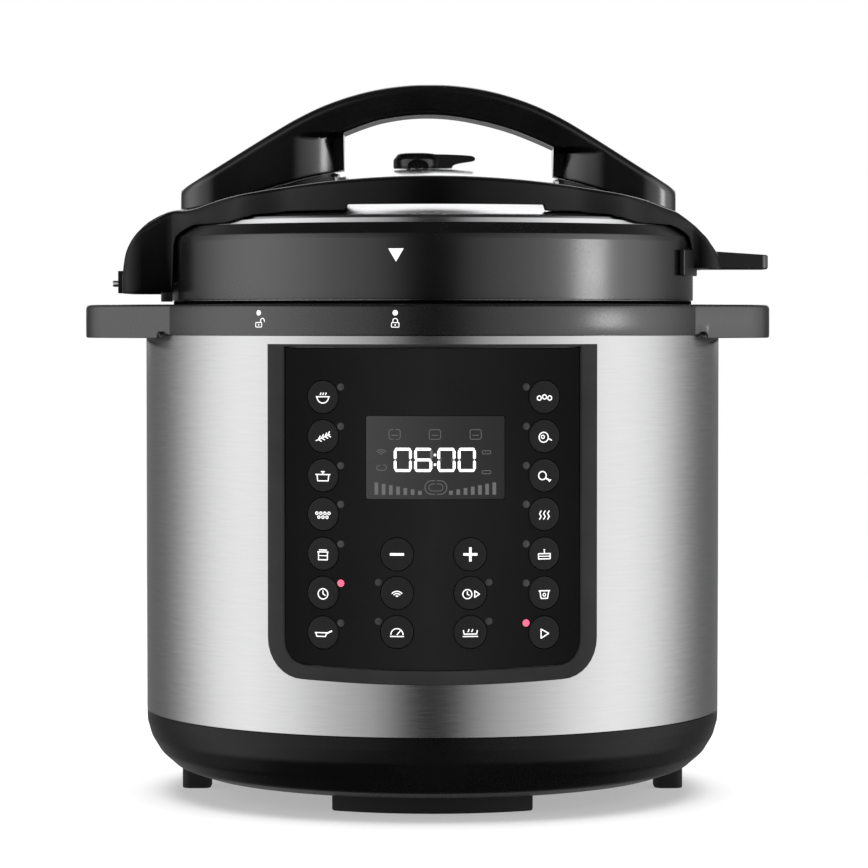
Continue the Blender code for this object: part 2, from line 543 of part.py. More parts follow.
# ---------------------------------------------------------------- arch handle over the lid
grip_top = [(-124.4, 295.9), (-120.9, 298.3), (-116.5, 300.9), (-105, 307.9), (-92, 316), (-80, 323.4), (-67, 331), (-54, 337.2), (-40, 342.2), (-26, 345.5), (-12, 347.3), (0, 347.6)]
right_top = [(-x - 2.4 - 1.7 * (x / 124.4) ** 2, z) for x, z in reversed(grip_top[:-1])]
under_arch = [(59.4, 316.4), (50, 320.6), (38, 325.2), (25, 328.8), (12, 331.3), (0, 332.3), (-12, 331.9), (-25, 329.8), (-35, 326.6), (-43.6, 323.2)]


def foot_line(xs):
    return [(x, cover_top(x, 0) + 0.5 + 2.0 * math.exp(-((abs(x) - 103) / 16) ** 2)) for x in xs]


handle = add(
    "lid_handle",
    prism_bm(foot_line([-124.4]) + grip_top + right_top + foot_line([120.3, 112, 100, 88, 76, 66, 59.4]) + under_arch + foot_line([-43.6, -52, -62, -74, -88, -102, -114]), -GRIP_HALF_Y, GRIP_HALF_Y, "y"),
    material("handle_plastic", BLACK, 0.3), smooth=True,
)

# ---------------------------------------------------------------- side fin that holds the lid upright, and the lock pin
root_in = LID_R + 0.6
fin = [(math.sqrt(root_in ** 2 - y * y), y) for y in (30, 20, 10, 0, -10, -20, -30)]
fin = fin + [(134.5, -30), (135.6, -15), (163.5, -13.5), (165.3, -11.5), (165.3, 11.5), (163.5, 13.5), (135.6, 15), (134.5, 30)]
fin_bm = prism_bm(fin, FIN_Z0, FIN_Z1)
for v in fin_bm.verts:
    if v.co.z > FIN_Z0 + 1:
        v.co.z -= FIN_SLOPE * (v.co.x - 128)
add("rest_fin", fin_bm, material("fin_plastic", BLACK, 0.35), smooth=False)
bm = turned_bm([(0, -158.5), (1.6, -158.5), (1.6, -148.6), (3.4, -148.6), (3.4, -147.0), (1.6, -147.0), (1.6, -134), (0, -134)], 12)
bmesh.ops.transform(bm, matrix=Matrix.Translation((0, 0, PIN_Z)) @ Matrix.Rotation(math.radians(90), 4, "Y"), verts=bm.verts)
add("lock_pin", bm, material("pin_steel", (0.6, 0.6, 0.6), 0.25, 1.0), pivot=(-150, 0, PIN_Z))
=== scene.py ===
"""The looks of an electric pressure cooker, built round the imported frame. Lengths in the helpers are millimetres
from the vessel's axis; they become metres in the row frame when a piece is made."""
import json
import math

import bmesh
import bpy
from mathutils import Matrix, Vector

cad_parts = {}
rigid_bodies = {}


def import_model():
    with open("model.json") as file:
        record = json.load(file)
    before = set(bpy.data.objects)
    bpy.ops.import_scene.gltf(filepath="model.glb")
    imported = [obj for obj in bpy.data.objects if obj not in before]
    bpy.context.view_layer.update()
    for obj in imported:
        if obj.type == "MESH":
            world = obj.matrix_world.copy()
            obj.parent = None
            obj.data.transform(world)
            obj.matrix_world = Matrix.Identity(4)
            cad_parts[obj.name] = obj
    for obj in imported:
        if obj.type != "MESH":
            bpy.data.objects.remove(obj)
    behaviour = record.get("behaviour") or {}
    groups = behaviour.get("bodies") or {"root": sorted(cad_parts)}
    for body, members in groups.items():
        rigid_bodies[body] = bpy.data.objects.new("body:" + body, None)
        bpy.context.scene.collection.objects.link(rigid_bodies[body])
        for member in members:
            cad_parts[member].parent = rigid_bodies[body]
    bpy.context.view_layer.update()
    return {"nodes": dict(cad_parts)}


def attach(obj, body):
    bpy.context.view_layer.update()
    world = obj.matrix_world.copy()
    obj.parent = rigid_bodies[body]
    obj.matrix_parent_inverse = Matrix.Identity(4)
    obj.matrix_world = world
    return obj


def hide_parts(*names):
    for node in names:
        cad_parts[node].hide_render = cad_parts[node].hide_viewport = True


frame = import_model()
scene = bpy.context.scene

MM = 0.001
AXIS_X, AXIS_Y = 2.35, -11.25
SEG = 160

# ------------------------------------------------------------------ camera first
EYE_D, EYE_Z, EYE_X, F_PX = 1781.7, 233.0, AXIS_X + 0.75, 3590.0
cam_data = bpy.data.cameras.new("camera")
cam = bpy.data.objects.new("camera", cam_data)
scene.collection.objects.link(cam)
cam_data.sensor_width = 36.0
cam_data.lens = 36.0 * F_PX / 868.0
cam_data.clip_start, cam_data.clip_end = 0.05, 60.0
pitch = math.atan((434.0 - 318.0) / F_PX)
cam.location = (EYE_X * MM, (AXIS_Y - EYE_D) * MM, EYE_Z * MM)
cam.rotation_euler = (math.pi / 2 - pitch, 0, 0)
scene.camera = cam
scene.view_settings.view_transform = "Standard"
scene.view_settings.look = "None"

# ------------------------------------------------------------------ materials


def node_material(name):
    mat = bpy.data.materials.new(name)
    mat.use_nodes = True
    nt = mat.node_tree
    bsdf = nt.nodes["Principled BSDF"]
    return mat, nt, bsdf


def link(nt, a, b):
    nt.links.new(a, b)


def math_node(nt, op, a, b=None):
    n = nt.nodes.new("ShaderNodeMath")
    n.operation = op
    for i, v in enumerate((a, b)):
        if v is None:
            continue
        if isinstance(v, (int, float)):
            n.inputs[i].default_value = v
        else:
            link(nt, v, n.inputs[i])
    return n.outputs[0]


def ramp(nt, fac, stops):
    n = nt.nodes.new("ShaderNodeValToRGB")
    link(nt, fac, n.inputs["Fac"])
    els = n.color_ramp.elements
    while len(els) > len(stops):
        els.remove(els[-1])
    while len(els) < len(stops):
        els.new(1.0)
    for el, (pos, col) in zip(els, stops):
        el.position = pos
        el.color = (*col, 1.0) if isinstance(col, tuple) else (col, col, col, 1.0)
    return n.outputs["Color"]


def plastic(name, colour, rough, grain=0.5, scale=900.0, spec=0.5, coat=0.0, mottle=0.25, ior=1.5):
    """Injection moulded plastic: a fine spark-eroded grain, slight flow marks and a little wear in the gloss."""
    mat, nt, bsdf = node_material(name)
    coord = nt.nodes.new("ShaderNodeTexCoord")
    fine = nt.nodes.new("ShaderNodeTexNoise")
    fine.inputs["Scale"].default_value = scale
    fine.inputs["Detail"].default_value = 3.0
    link(nt, coord.outputs["Object"], fine.inputs["Vector"])
    broad = nt.nodes.new("ShaderNodeTexNoise")
    broad.inputs["Scale"].default_value = 22.0
    broad.inputs["Detail"].default_value = 4.0
    link(nt, coord.outputs["Object"], broad.inputs["Vector"])
    dark = tuple(c * (1 - mottle) for c in colour)
    light = tuple(c * (1 + mottle) + 0.0005 for c in colour)
    link(nt, ramp(nt, broad.outputs["Fac"], [(0.3, dark), (0.7, light)]), bsdf.inputs["Base Color"])
    mixed = math_node(nt, "ADD", math_node(nt, "MULTIPLY", broad.outputs["Fac"], 0.6), math_node(nt, "MULTIPLY", fine.outputs["Fac"], 0.4))
    link(nt, ramp(nt, mixed, [(0.3, max(rough - 0.05, 0.02)), (0.7, rough + 0.05)]), bsdf.inputs["Roughness"])
    bump = nt.nodes.new("ShaderNodeBump")
    bump.inputs["Strength"].default_value = grain
    bump.inputs["Distance"].default_value = 0.00004
    link(nt, fine.outputs["Fac"], bump.inputs["Height"])
    link(nt, bump.outputs["Normal"], bsdf.inputs["Normal"])
    bsdf.inputs["Specular IOR Level"].default_value = spec
    bsdf.inputs["IOR"].default_value = ior
    if coat:
        bsdf.inputs["Coat Weight"].default_value = coat
        bsdf.inputs["Coat Roughness"].default_value = 0.06
    return mat


def turned_metal(name, colour, rough, aniso=0.6, line=0.6, vertical=900.0, around=2.0, wear=0.1, polar=False):
    """Metal brushed round the vessel: hairlines follow the circumference. polar=True is for flat turned faces."""
    mat, nt, bsdf = node_material(name)
    coord = nt.nodes.new("ShaderNodeTexCoord")
    sep = nt.nodes.new("ShaderNodeSeparateXYZ")
    link(nt, coord.outputs["Object"], sep.inputs[0])
    x = math_node(nt, "SUBTRACT", sep.outputs["X"], AXIS_X * MM)
    y = math_node(nt, "SUBTRACT", sep.outputs["Y"], AXIS_Y * MM)
    angle = math_node(nt, "ARCTAN2", x, y)
    radius = math_node(nt, "SQRT", math_node(nt, "ADD", math_node(nt, "MULTIPLY", x, x), math_node(nt, "MULTIPLY", y, y)))
    comb = nt.nodes.new("ShaderNodeCombineXYZ")
    link(nt, math_node(nt, "MULTIPLY", math_node(nt, "COSINE", angle), around), comb.inputs["X"])
    link(nt, math_node(nt, "MULTIPLY", math_node(nt, "SINE", angle), around), comb.inputs["Y"])
    run = math_node(nt, "ADD", math_node(nt, "MULTIPLY", sep.outputs["Z"], vertical), math_node(nt, "MULTIPLY", radius, vertical))
    link(nt, run if polar else math_node(nt, "MULTIPLY", sep.outputs["Z"], vertical), comb.inputs["Z"])
    lines = nt.nodes.new("ShaderNodeTexNoise")
    lines.inputs["Scale"].default_value = 1.0
    lines.inputs["Detail"].default_value = 5.0
    lines.inputs["Roughness"].default_value = 0.7
    link(nt, comb.outputs[0], lines.inputs["Vector"])
    broad = nt.nodes.new("ShaderNodeTexNoise")
    broad.inputs["Scale"].default_value = 9.0
    broad.inputs["Detail"].default_value = 3.0
    link(nt, coord.outputs["Object"], broad.inputs["Vector"])
    mixed = math_node(nt, "ADD", math_node(nt, "MULTIPLY", lines.outputs["Fac"], 0.75), math_node(nt, "MULTIPLY", broad.outputs["Fac"], 0.25))
    dark = tuple(c * (1 - wear) for c in colour)
    light = tuple(min(1.0, c * (1 + wear)) for c in colour)
    link(nt, ramp(nt, mixed, [(0.3, dark), (0.7, light)]), bsdf.inputs["Base Color"])
    link(nt, ramp(nt, mixed, [(0.3, rough * 0.85), (0.7, rough * 1.15)]), bsdf.inputs["Roughness"])
    bump = nt.nodes.new("ShaderNodeBump")
    bump.inputs["Strength"].default_value = line
    bump.inputs["Distance"].default_value = 0.00001
    link(nt, lines.outputs["Fac"], bump.inputs["Height"])
    link(nt, bump.outputs["Normal"], bsdf.inputs["Normal"])
    bsdf.inputs["Metallic"].default_value = 1.0
    if aniso:
        bsdf.inputs["Anisotropic"].default_value = aniso
        tangent = nt.nodes.new("ShaderNodeTangent")
        tangent.direction_type = "RADIAL"
        tangent.axis = "Z"
        link(nt, tangent.outputs[0], bsdf.inputs["Tangent"])
    return mat


def glow(name, colour, strength, base=(0.8, 0.8, 0.8)):
    """A printed or lit sign, with a faint grain in the ink. On lit signs the emission is their own light; on printed
    signs it is a painted glow.
    """
    mat, nt, bsdf = node_material(name)
    coord = nt.nodes.new("ShaderNodeTexCoord")
    noise = nt.nodes.new("ShaderNodeTexNoise")
    noise.inputs["Scale"].default_value = 1500.0
    link(nt, coord.outputs["Object"], noise.inputs["Vector"])
    link(nt, ramp(nt, noise.outputs["Fac"], [(0.2, tuple(c * 0.9 for c in base)), (0.8, base)]), bsdf.inputs["Base Color"])
    bsdf.inputs["Roughness"].default_value = 0.5
    bsdf.inputs["Emission Color"].default_value = (*colour, 1.0)
    bsdf.inputs["Emission Strength"].default_value = strength
    return mat


M = {
    "shell": turned_metal("shell_brushed_steel", (0.6, 0.6, 0.605), 0.19, aniso=0.75, line=0.25, vertical=1400.0, around=9.0, wear=0.05),
    "dome": turned_metal("dome_steel", (0.62, 0.62, 0.63), 0.2, aniso=0.5, line=0.25, vertical=900.0, around=8.0, wear=0.06, polar=True),
    "inner": turned_metal("inner_pot_steel", (0.66, 0.66, 0.67), 0.2, aniso=0.5, line=0.3, vertical=700.0, around=5.0, wear=0.06, polar=True),
    "alu": turned_metal("cast_aluminium", (0.52, 0.52, 0.53), 0.38, aniso=0.4, line=0.6, vertical=500.0, around=6.0, wear=0.12, polar=True),
    "outer_pot": turned_metal("outer_pot_metal", (0.42, 0.42, 0.43), 0.35, aniso=0.4, line=0.4, vertical=700.0, around=5.0, wear=0.12, polar=True),
    "pin": turned_metal("pin_steel", (0.6, 0.6, 0.6), 0.2, aniso=0.0, line=0.2, vertical=900.0, around=5.0, wear=0.08),
    "base": plastic("base_plastic", (0.0025, 0.0025, 0.0027), 0.26, grain=0.25, spec=0.22),
    "collar": plastic("collar_plastic", (0.004, 0.004, 0.0042), 0.26, grain=0.15, spec=0.8, ior=1.6),
    "ring": plastic("lid_ring_plastic", (0.002, 0.002, 0.0022), 0.25, grain=0.12, spec=0.85, ior=1.6),
    "cover": plastic("cover_plastic", (0.003, 0.003, 0.0032), 0.24, grain=0.15, spec=0.22),
    "handle": plastic("handle_plastic", (0.003, 0.003, 0.0032), 0.22, grain=0.15, spec=0.8, ior=1.6),
    "fin": plastic("fin_plastic", (0.006, 0.006, 0.0062), 0.3, grain=0.3, spec=0.8),
    "valve": plastic("valve_plastic", (0.006, 0.006, 0.0062), 0.26, grain=0.25, spec=0.8),
    "frame": plastic("frame_plastic", (0.03, 0.03, 0.031), 0.35, grain=0.3, spec=0.12),
    "panel": plastic("panel_film", (0.0165, 0.0165, 0.017), 0.3, grain=0.1, spec=0.04, mottle=0.08),
    "key": plastic("key_film", (0.0185, 0.0185, 0.019), 0.3, grain=0.12, spec=0.06, mottle=0.08),
    "lcd": plastic("lcd_lens", (0.06, 0.06, 0.062), 0.25, grain=0.05, spec=0.06, mottle=0.06),
    # near-black matte lip material: a painted shadow for the dark gap under the lid ring
    "gap": plastic("shadow_lip_plastic", (0.0015, 0.0015, 0.0015), 0.85, grain=0.1, spec=0.03),
    "rubber": plastic("foot_rubber", (0.012, 0.012, 0.012), 0.7, grain=0.8, spec=0.3),
    "silicone": plastic("silicone", (0.62, 0.62, 0.6), 0.5, grain=0.3, spec=0.4, mottle=0.05),
    "cup": plastic("cup_plastic", (0.03, 0.03, 0.033), 0.16, grain=0.1, spec=0.5),
    "board": plastic("circuit_board", (0.012, 0.09, 0.035), 0.4, grain=0.3, spec=0.5),
    "switch": plastic("switch_plastic", (0.4, 0.38, 0.33), 0.45, grain=0.4),
    # printed marks are given a painted glow: the emission makes the print brighter though no lamp lights it
    "white": glow("printed_white_painted_glow", (0.85, 0.85, 0.85), 0.75),
    "digit": glow("lit_digits", (1.0, 1.0, 1.0), 1.1),
    "ghost": glow("unlit_segments", (0.075, 0.075, 0.075), 1.0, base=(0.08, 0.08, 0.08)),
    "led_off": plastic("led_unlit", (0.035, 0.035, 0.035), 0.3, grain=0.1),
    "led_on": glow("led_lit", (0.87, 0.09, 0.17), 1.0, base=(0.8, 0.1, 0.2)),
}



def shade_across(mat, left, right, stops):
    """Scale a material's colour from left to right: painted shade laid across a film."""
    nt = mat.node_tree
    bsdf = [n for n in nt.nodes if n.type == "BSDF_PRINCIPLED"][0]
    coord = nt.nodes.new("ShaderNodeTexCoord")
    sep = nt.nodes.new("ShaderNodeSeparateXYZ")
    link(nt, coord.outputs["Object"], sep.inputs[0])
    t = math_node(nt, "DIVIDE", math_node(nt, "SUBTRACT", sep.outputs["X"], left * MM), (right - left) * MM)
    # the ramp is the painted shade laid across the film
    painted_shade = ramp(nt, t, stops)
    mix = nt.nodes.new("ShaderNodeMix")
    mix.data_type = "RGBA"
    mix.blend_type = "MULTIPLY"
    mix.inputs["Factor"].default_value = 1.0
    socket = bsdf.inputs["Base Color"]
    if socket.is_linked:
        link(nt, socket.links[0].from_socket, mix.inputs["A"])
    else:
        mix.inputs["A"].default_value = socket.default_value
    link(nt, painted_shade, mix.inputs["B"])
    link(nt, mix.outputs["Result"], socket)


# painted shade: the display lens is made darker towards the right
shade_across(M["lcd"], -31.0, 38.0, [(0.0, 1.0), (1.0, 0.42)])
# painted shade: the panel film is made darker towards both sides, in place of the changing reflections on the curved
# panel
shade_across(M["panel"], -67.0, 71.0, [(0.0, 0.25), (0.5, 1.0), (1.0, 0.25)])

# ------------------------------------------------------------------ mesh helpers


def piece(name, bm, mat, body, stands_for=(), sharp=38.0):
    """A piece from a bmesh in vessel millimetres."""
    bmesh.ops.remove_doubles(bm, verts=bm.verts, dist=1e-5)
    bmesh.ops.recalc_face_normals(bm, faces=bm.faces)
    if bm.calc_volume(signed=True) < 0:
        bmesh.ops.reverse_faces(bm, faces=bm.faces)
    bmesh.ops.transform(bm, matrix=Matrix.Diagonal((MM, MM, MM, 1)) @ Matrix.Translation((AXIS_X, AXIS_Y, 0)), verts=bm.verts)
    for f in bm.faces:
        f.smooth = True
    mesh = bpy.data.meshes.new(name)
    bm.to_mesh(mesh)
    bm.free()
    mesh.set_sharp_from_angle(angle=math.radians(sharp))
    mesh.materials.append(mat)
    obj = bpy.data.objects.new(name, mesh)
    scene.collection.objects.link(obj)
    if stands_for:
        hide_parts(*stands_for)
    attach(obj, body)
    return obj


def carve(obj, bm, operation="DIFFERENCE", own=False):
    """A Boolean that is applied at once."""
    bmesh.ops.recalc_face_normals(bm, faces=bm.faces)
    if bm.calc_volume(signed=True) < 0:
        bmesh.ops.reverse_faces(bm, faces=bm.faces)
    bmesh.ops.transform(bm, matrix=Matrix.Diagonal((MM, MM, MM, 1)) @ Matrix.Translation((AXIS_X, AXIS_Y, 0)), verts=bm.verts)
    mesh = bpy.data.meshes.new("tool")
    bm.to_mesh(mesh)
    bm.free()
    tool = bpy.data.objects.new("tool", mesh)
    scene.collection.objects.link(tool)
    mod = obj.modifiers.new("cut", "BOOLEAN")
    mod.operation = operation
    mod.solver = "EXACT"
    mod.use_self = own
    mod.object = tool
    graph = bpy.context.evaluated_depsgraph_get()
    new = bpy.data.meshes.new_from_object(obj.evaluated_get(graph))
    obj.modifiers.remove(mod)
    old = obj.data
    obj.data = new
    bpy.data.meshes.remove(old)
    bpy.data.objects.remove(tool)
    for p in new.polygons:
        p.use_smooth = True
    new.set_sharp_from_angle(angle=math.radians(38))
    return obj


def bevel(obj, width, segments=3, angle=40):
    mod = obj.modifiers.new("bevel", "BEVEL")
    mod.width = width * MM
    mod.segments = segments
    mod.limit_method = "ANGLE"
    mod.angle_limit = math.radians(angle)
    mod.harden_normals = True
    return obj


def fillet(profile, closed=True):
    """Points (a, b) or (a, b, radius): corners with a radius become arcs."""
    out = []
    n = len(profile)
    for i, p in enumerate(profile):
        r = p[2] if len(p) > 2 else 0.0
        P = Vector(p[:2])
        if r <= 0 or (not closed and i in (0, n - 1)):
            out.append(tuple(P))
            continue
        A, B = Vector(profile[i - 1][:2]), Vector(profile[(i + 1) % n][:2])
        d1, d2 = (A - P), (B - P)
        l1, l2 = d1.length, d2.length
        if l1 < 1e-6 or l2 < 1e-6:
            out.append(tuple(P))
            continue
        d1, d2 = d1 / l1, d2 / l2
        cosang = max(-0.9999, min(0.9999, d1.dot(d2)))
        half = math.acos(cosang) / 2
        t = min(r / math.tan(half), 0.48 * l1, 0.48 * l2)
        steps = 5
        a, b = P + d1 * t, P + d2 * t
        for k in range(steps + 1):
            u = k / steps
            q = a * (1 - u) ** 2 + P * 2 * u * (1 - u) + b * u * u
            out.append(tuple(q))
    return out


def lathe_bm(profile, segs=SEG, centre=(0.0, 0.0)):
    pts = fillet(profile)
    bm = bmesh.new()
    rings = []
    for r, z in pts:
        if r < 1e-6:
            rings.append([bm.verts.new((centre[0], centre[1], z))])
        else:
            rings.append([bm.verts.new((centre[0] + r * math.sin(2 * math.pi * k / segs), centre[1] - r * math.cos(2 * math.pi * k / segs), z)) for k in range(segs)])
    n = len(rings)
    for i in range(n):
        a, b = rings[i], rings[(i + 1) % n]
        if len(a) == 1 and len(b) == 1:
            continue
        for k in range(segs):
            j = (k + 1) % segs
            if len(a) == 1:
                bm.faces.new((a[0], b[j], b[k]))
            elif len(b) == 1:
                bm.faces.new((a[k], a[j], b[0]))
            else:
                bm.faces.new((a[k], a[j], b[j], b[k]))
    return bm


def prism(outline, low, high, axis="z"):
    bm = bmesh.new()
    put = {"z": lambda a, b, c: (a, b, c), "y": lambda a, b, c: (a, c, b), "x": lambda a, b, c: (c, a, b)}[axis]
    lo = [bm.verts.new(put(a, b, low)) for a, b in outline]
    hi = [bm.verts.new(put(a, b, high)) for a, b in outline]
    bm.faces.new(lo)
    bm.faces.new(hi)
    for i in range(len(lo)):
        j = (i + 1) % len(lo)
        bm.faces.new((lo[i], lo[j], hi[j], hi[i]))
    return bm


def rrect(x0, x1, y0, y1, r, steps=6):
    pts = []
    for cx, cy, a0 in ((x1 - r, y1 - r, 0), (x0 + r, y1 - r, 90), (x0 + r, y0 + r, 180), (x1 - r, y0 + r, 270)):
        for i in range(steps + 1):
            a = math.radians(a0 + 90 * i / steps)
            pts.append((cx + r * math.cos(a), cy + r * math.sin(a)))
    return pts


def circle(r, cx=0.0, cy=0.0, n=32):
    return [(cx + r * math.cos(2 * math.pi * i / n), cy + r * math.sin(2 * math.pi * i / n)) for i in range(n)]


def join_bm(*bms):
    target = bmesh.new()
    for bm in bms:
        mesh = bpy.data.meshes.new("tmp")
        bmesh.ops.recalc_face_normals(bm, faces=bm.faces)
        if bm.calc_volume(signed=True) < 0:
            bmesh.ops.reverse_faces(bm, faces=bm.faces)
        bm.to_mesh(mesh)
        bm.free()
        target.from_mesh(mesh)
        bpy.data.meshes.remove(mesh)
    return target


def loops_bm(loops):
    """A closed band of loops, joined end to end."""
    bm = bmesh.new()
    rings = [[bm.verts.new(p) for p in loop] for loop in loops]
    n, m = len(rings), len(rings[0])
    for i in range(n):
        a, b = rings[i], rings[(i + 1) % n]
        for k in range(m):
            bm.faces.new((a[k], b[k], b[(k + 1) % m], a[(k + 1) % m]))
    return bm


def outward(outline):
    """Unit outward normals of a counter-clockwise closed outline."""
    n = len(outline)
    out = []
    for i in range(n):
        ax, ay = outline[i - 1][:2]
        bx, by = outline[(i + 1) % n][:2]
        tx, ty = bx - ax, by - ay
        length = math.hypot(tx, ty) or 1.0
        out.append((ty / length, -tx / length))
    return out


def chaikin(pts, times):
    for _ in range(times):
        new = []
        for i in range(len(pts)):
            a, b = pts[i], pts[(i + 1) % len(pts)]
            new.append(tuple(0.75 * u + 0.25 * v for u, v in zip(a, b)))
            new.append(tuple(0.25 * u + 0.75 * v for u, v in zip(a, b)))
        pts = new
    return pts


def smoothstep(a, b, x):
    t = max(0.0, min(1.0, (x - a) / (b - a)))
    return t * t * (3 - 2 * t)


def arc_block(r0, r1, z0, z1, mid_deg, half_deg, steps=8):
    angles = [math.radians(mid_deg - half_deg + 2 * half_deg * i / steps) for i in range(steps + 1)]
    outline = [(r1 * math.cos(a), r1 * math.sin(a)) for a in angles] + [(r0 * math.cos(a), r0 * math.sin(a)) for a in reversed(angles)]
    return prism(outline, z0, z1)


# ------------------------------------------------------------------ body
base = piece("base_bowl", lathe_bm([
    (0, 8.7), (60, 8.7), (110, 8.7, 6), (116, 9.3, 6), (126.5, 12.9, 10), (134.5, 19.9, 12), (139.2, 27.6, 12), (141.3, 35.0, 6), (141.5, 40.3, 0.5), (140.6, 40.3), (140.6, 48), (138.4, 48), (138.4, 36),
    (136.4, 28.6, 5), (132.2, 21.8, 5), (125, 15, 5), (113.4, 11.2, 3), (0, 11.2)]), M["base"], "base", ["base_housing"])
carve(base, join_bm(*[prism(rrect(-22, 22, y - 1.5, y + 1.5, 1.4, 3), 6, 14) for y in (-30, -20, -10, 0, 10, 20, 30)]))
carve(base, prism(rrect(-15.5, 15.5, 16.2, 37.8, 1.5, 3), 118, 150, "y"))

for name, deg in (("foot_front", -90), ("foot_rear", 90)):
    foot = piece(name + "_pad", arc_block(84, 102, 0, 8.4, deg, 28, 24), M["rubber"], "base", [name])
    bevel(foot, 1.2)
for side, sign in (("left", -1), ("right", 1)):
    lo, hi = sorted((sign * 110, sign * 124))
    foot = piece("foot_" + side + "_pad", prism(rrect(lo, hi, -9, 9, 4), 0, 14.0), M["rubber"], "base", ["foot_" + side])
    carve(foot, lathe_bm([(0, 8.5), (110, 8.5), (116, 9.0), (126.8, 12.5), (134.9, 19.6), (139.5, 27), (0, 27)], 96))
    bevel(foot, 1.0)

shell = piece("steel_shell", lathe_bm([(141.5, 41.2), (141.5, 224.2), (141.35, 224.7), (141.0, 224.7), (140.9, 224.2), (140.9, 41.2), (141.0, 40.6), (141.35, 40.6)], 256), M["shell"], "base", ["outer_shell"])
carve(shell, prism([(-60.8, 78.5), (60.8, 78.5), (60.8, 208), (-60.8, 208)], -160, -100, "y"))

# collar with its two side handles, drawn as one smooth band
TANGENT = 124.7


def gusset(sign, tip):
    """One side handle's plan, from the front tangent point round the tip to the rear one."""
    line = [(x, -68.2 + (x - TANGENT) * 0.839) for x in (124.7, 126, 127.5, 129, 130.4, 131.6, 132.8, 134.5, 137, 140, 144, 148, 152, 156, 159.5)]
    line += [(162.8, -35.8), (165.6, -32.6), (167.9, -28.8), (169.3, -24.6), (169.95, -20), (170.0, -10)]
    pts = [(TANGENT + (x - TANGENT) * (tip - TANGENT) / (170 - TANGENT), y) for x, y in line]
    pts += [(x, -y) for x, y in reversed(pts)]
    return [(sign * x, sign * y) for x, y in pts]


rest_arc = [(142.5 * math.cos(math.radians(a)), 142.5 * math.sin(math.radians(a))) for a in [29.6 + 120.8 * i / 76 for i in range(77)]]
collar_plan = gusset(1, 165.3) + rest_arc + gusset(-1, 170.0) + [(-x, -y) for x, y in rest_arc]
collar_plan = chaikin(collar_plan, 2)
loops = []
for (x, y), (nx, ny) in zip(collar_plan, outward(collar_plan)):
    rad = math.hypot(x, y)
    if rad < 142.5:
        s = 142.5 / rad
        x, y, rad = x * s, y * s, 142.5
    ux, uy = x / rad, y / rad
    lip = smoothstep(130.8, 132.4, abs(x))
    zb = 225.02 + 1.3 * smoothstep(142.8, 144.2, rad) * (1 - lip) - 1.7 * lip

    def at(r, z):
        return (ux * r, uy * r, z)

    def ins(d, z):
        return (x - nx * d, y - ny * d, z)

    loops.append([
        at(118.9, 218.5), at(138.4, 218.5), at(138.4, 216), at(140.6, 216), at(140.6, 225.05), at(141.0, 225.05),
        at(min(141.55, rad - 0.9), 225.03), at(min(144.6, rad - 0.85), zb), ins(0.8, zb), ins(0.25, zb + 0.25), ins(0, zb + 0.9),
        ins(0, 231.0), ins(0, 237.6), ins(0.3, 238.6), ins(0.95, 239.25), ins(1.9, 239.5), at(132.4, 239.5), at(131.6, 239.3), at(131.2, 238.6),
        at(129.9, 237.2), at(129.6, 236.4), at(129.6, 221.6), at(129.0, 221), at(118.9, 221)])
collar = piece("collar_with_handles", loops_bm(loops), M["collar"], "base", ["collar_ring"])
carve(collar, join_bm(prism(rrect(-162, -150, -16, 16, 2.5), 215, 245), prism(rrect(147, 158.5, -16, 16, 2.5), 215, 245)))


# ------------------------------------------------------------------ heating group and pots
outer_pot = piece("outer_pot_shell", lathe_bm([
    (5.8, 46.5), (108, 46.5, 4), (118.2, 54, 8), (118.2, 221.4), (123.5, 221.4), (123.5, 222.8), (118.2, 222.8), (118.2, 235, 0.4), (117, 235, 0.4), (117, 54.5, 8), (108, 48, 4), (5.8, 48)], 128), M["outer_pot"], "base", ["outer_pot"])
carve(outer_pot, join_bm(*[arc_block(117.4, 124.7, 232, 235, 60 * i, 12) for i in range(6)]), "UNION")
piece("heating_disc", lathe_bm([(14, 50), (98, 50), (100, 52), (100, 58, 1.5), (90, 61, 6), (60, 62, 4), (44, 62), (43.5, 61.6), (42.5, 61.6), (42, 62), (24, 62), (23.5, 61.6), (22.5, 61.6), (22, 62), (14, 62, 0.8)], 128), M["alu"], "base", ["heating_plate"])
piece("sensor_button", lathe_bm([(0, 49.4), (5, 49.4), (5, 55), (12, 55), (12.6, 56), (12.6, 61.0, 0.8), (11.4, 62.1, 1), (0, 62.2)], 64), M["pin"], "sensor", ["temp_sensor"])
piece("pot_liner", lathe_bm([
    (0, 62.5), (102, 62.5, 5), (111.6, 67.5, 9), (112.5, 78), (112.5, 228.2, 1.2), (115.8, 228.9, 0.8), (116.2, 230.4, 0.8), (115.2, 231.0, 0.8), (112.0, 231.0, 0.8), (111.3, 229.2, 1), (111.3, 78), (110.4, 68.6, 9), (101.6, 64.0, 6), (0, 64)], 160),
    M["inner"], "pot", ["inner_pot"])
# level marks pressed into the liner's wall
for i, z in enumerate((110, 130, 150, 170, 190)):
    half = 0.07 if i % 2 else 0.11
    bm = bmesh.new()
    pts = []
    for a in [math.pi - half + 2 * half * k / 16 for k in range(17)]:
        pts.append((111.22 * math.sin(a), -111.22 * math.cos(a)))
    inner_pts = [(x * 0.9985, y * 0.9985) for x, y in reversed(pts)]
    piece(f"level_mark_{i + 1}", prism(pts + inner_pts, z - 0.4, z + 0.4), M["outer_pot"], "pot")

# ------------------------------------------------------------------ panel
R = 144.5


def panel_pts(half, z0, z1, corner, bow, n=40):
    """Outline in (arc length, z): square top corners, round bottom corners, bottom bowed down."""
    s = math.radians(half) * R
    pts = [(s, z1), (-s, z1)]
    for k in range(9):
        a = math.radians(90 * k / 8)
        pts.append((-s + corner * (1 - math.cos(a)), z0 + corner * (1 - math.sin(a))))
    for k in range(1, n):
        f = k / n
        pts.append(((-s + corner) * (1 - 2 * f), z0 - bow * math.sin(math.pi * f)))
    for k in range(9):
        a = math.radians(90 - 90 * k / 8)
        pts.append((s - corner * (1 - math.cos(a)), z0 + corner * (1 - math.sin(a))))
    return pts


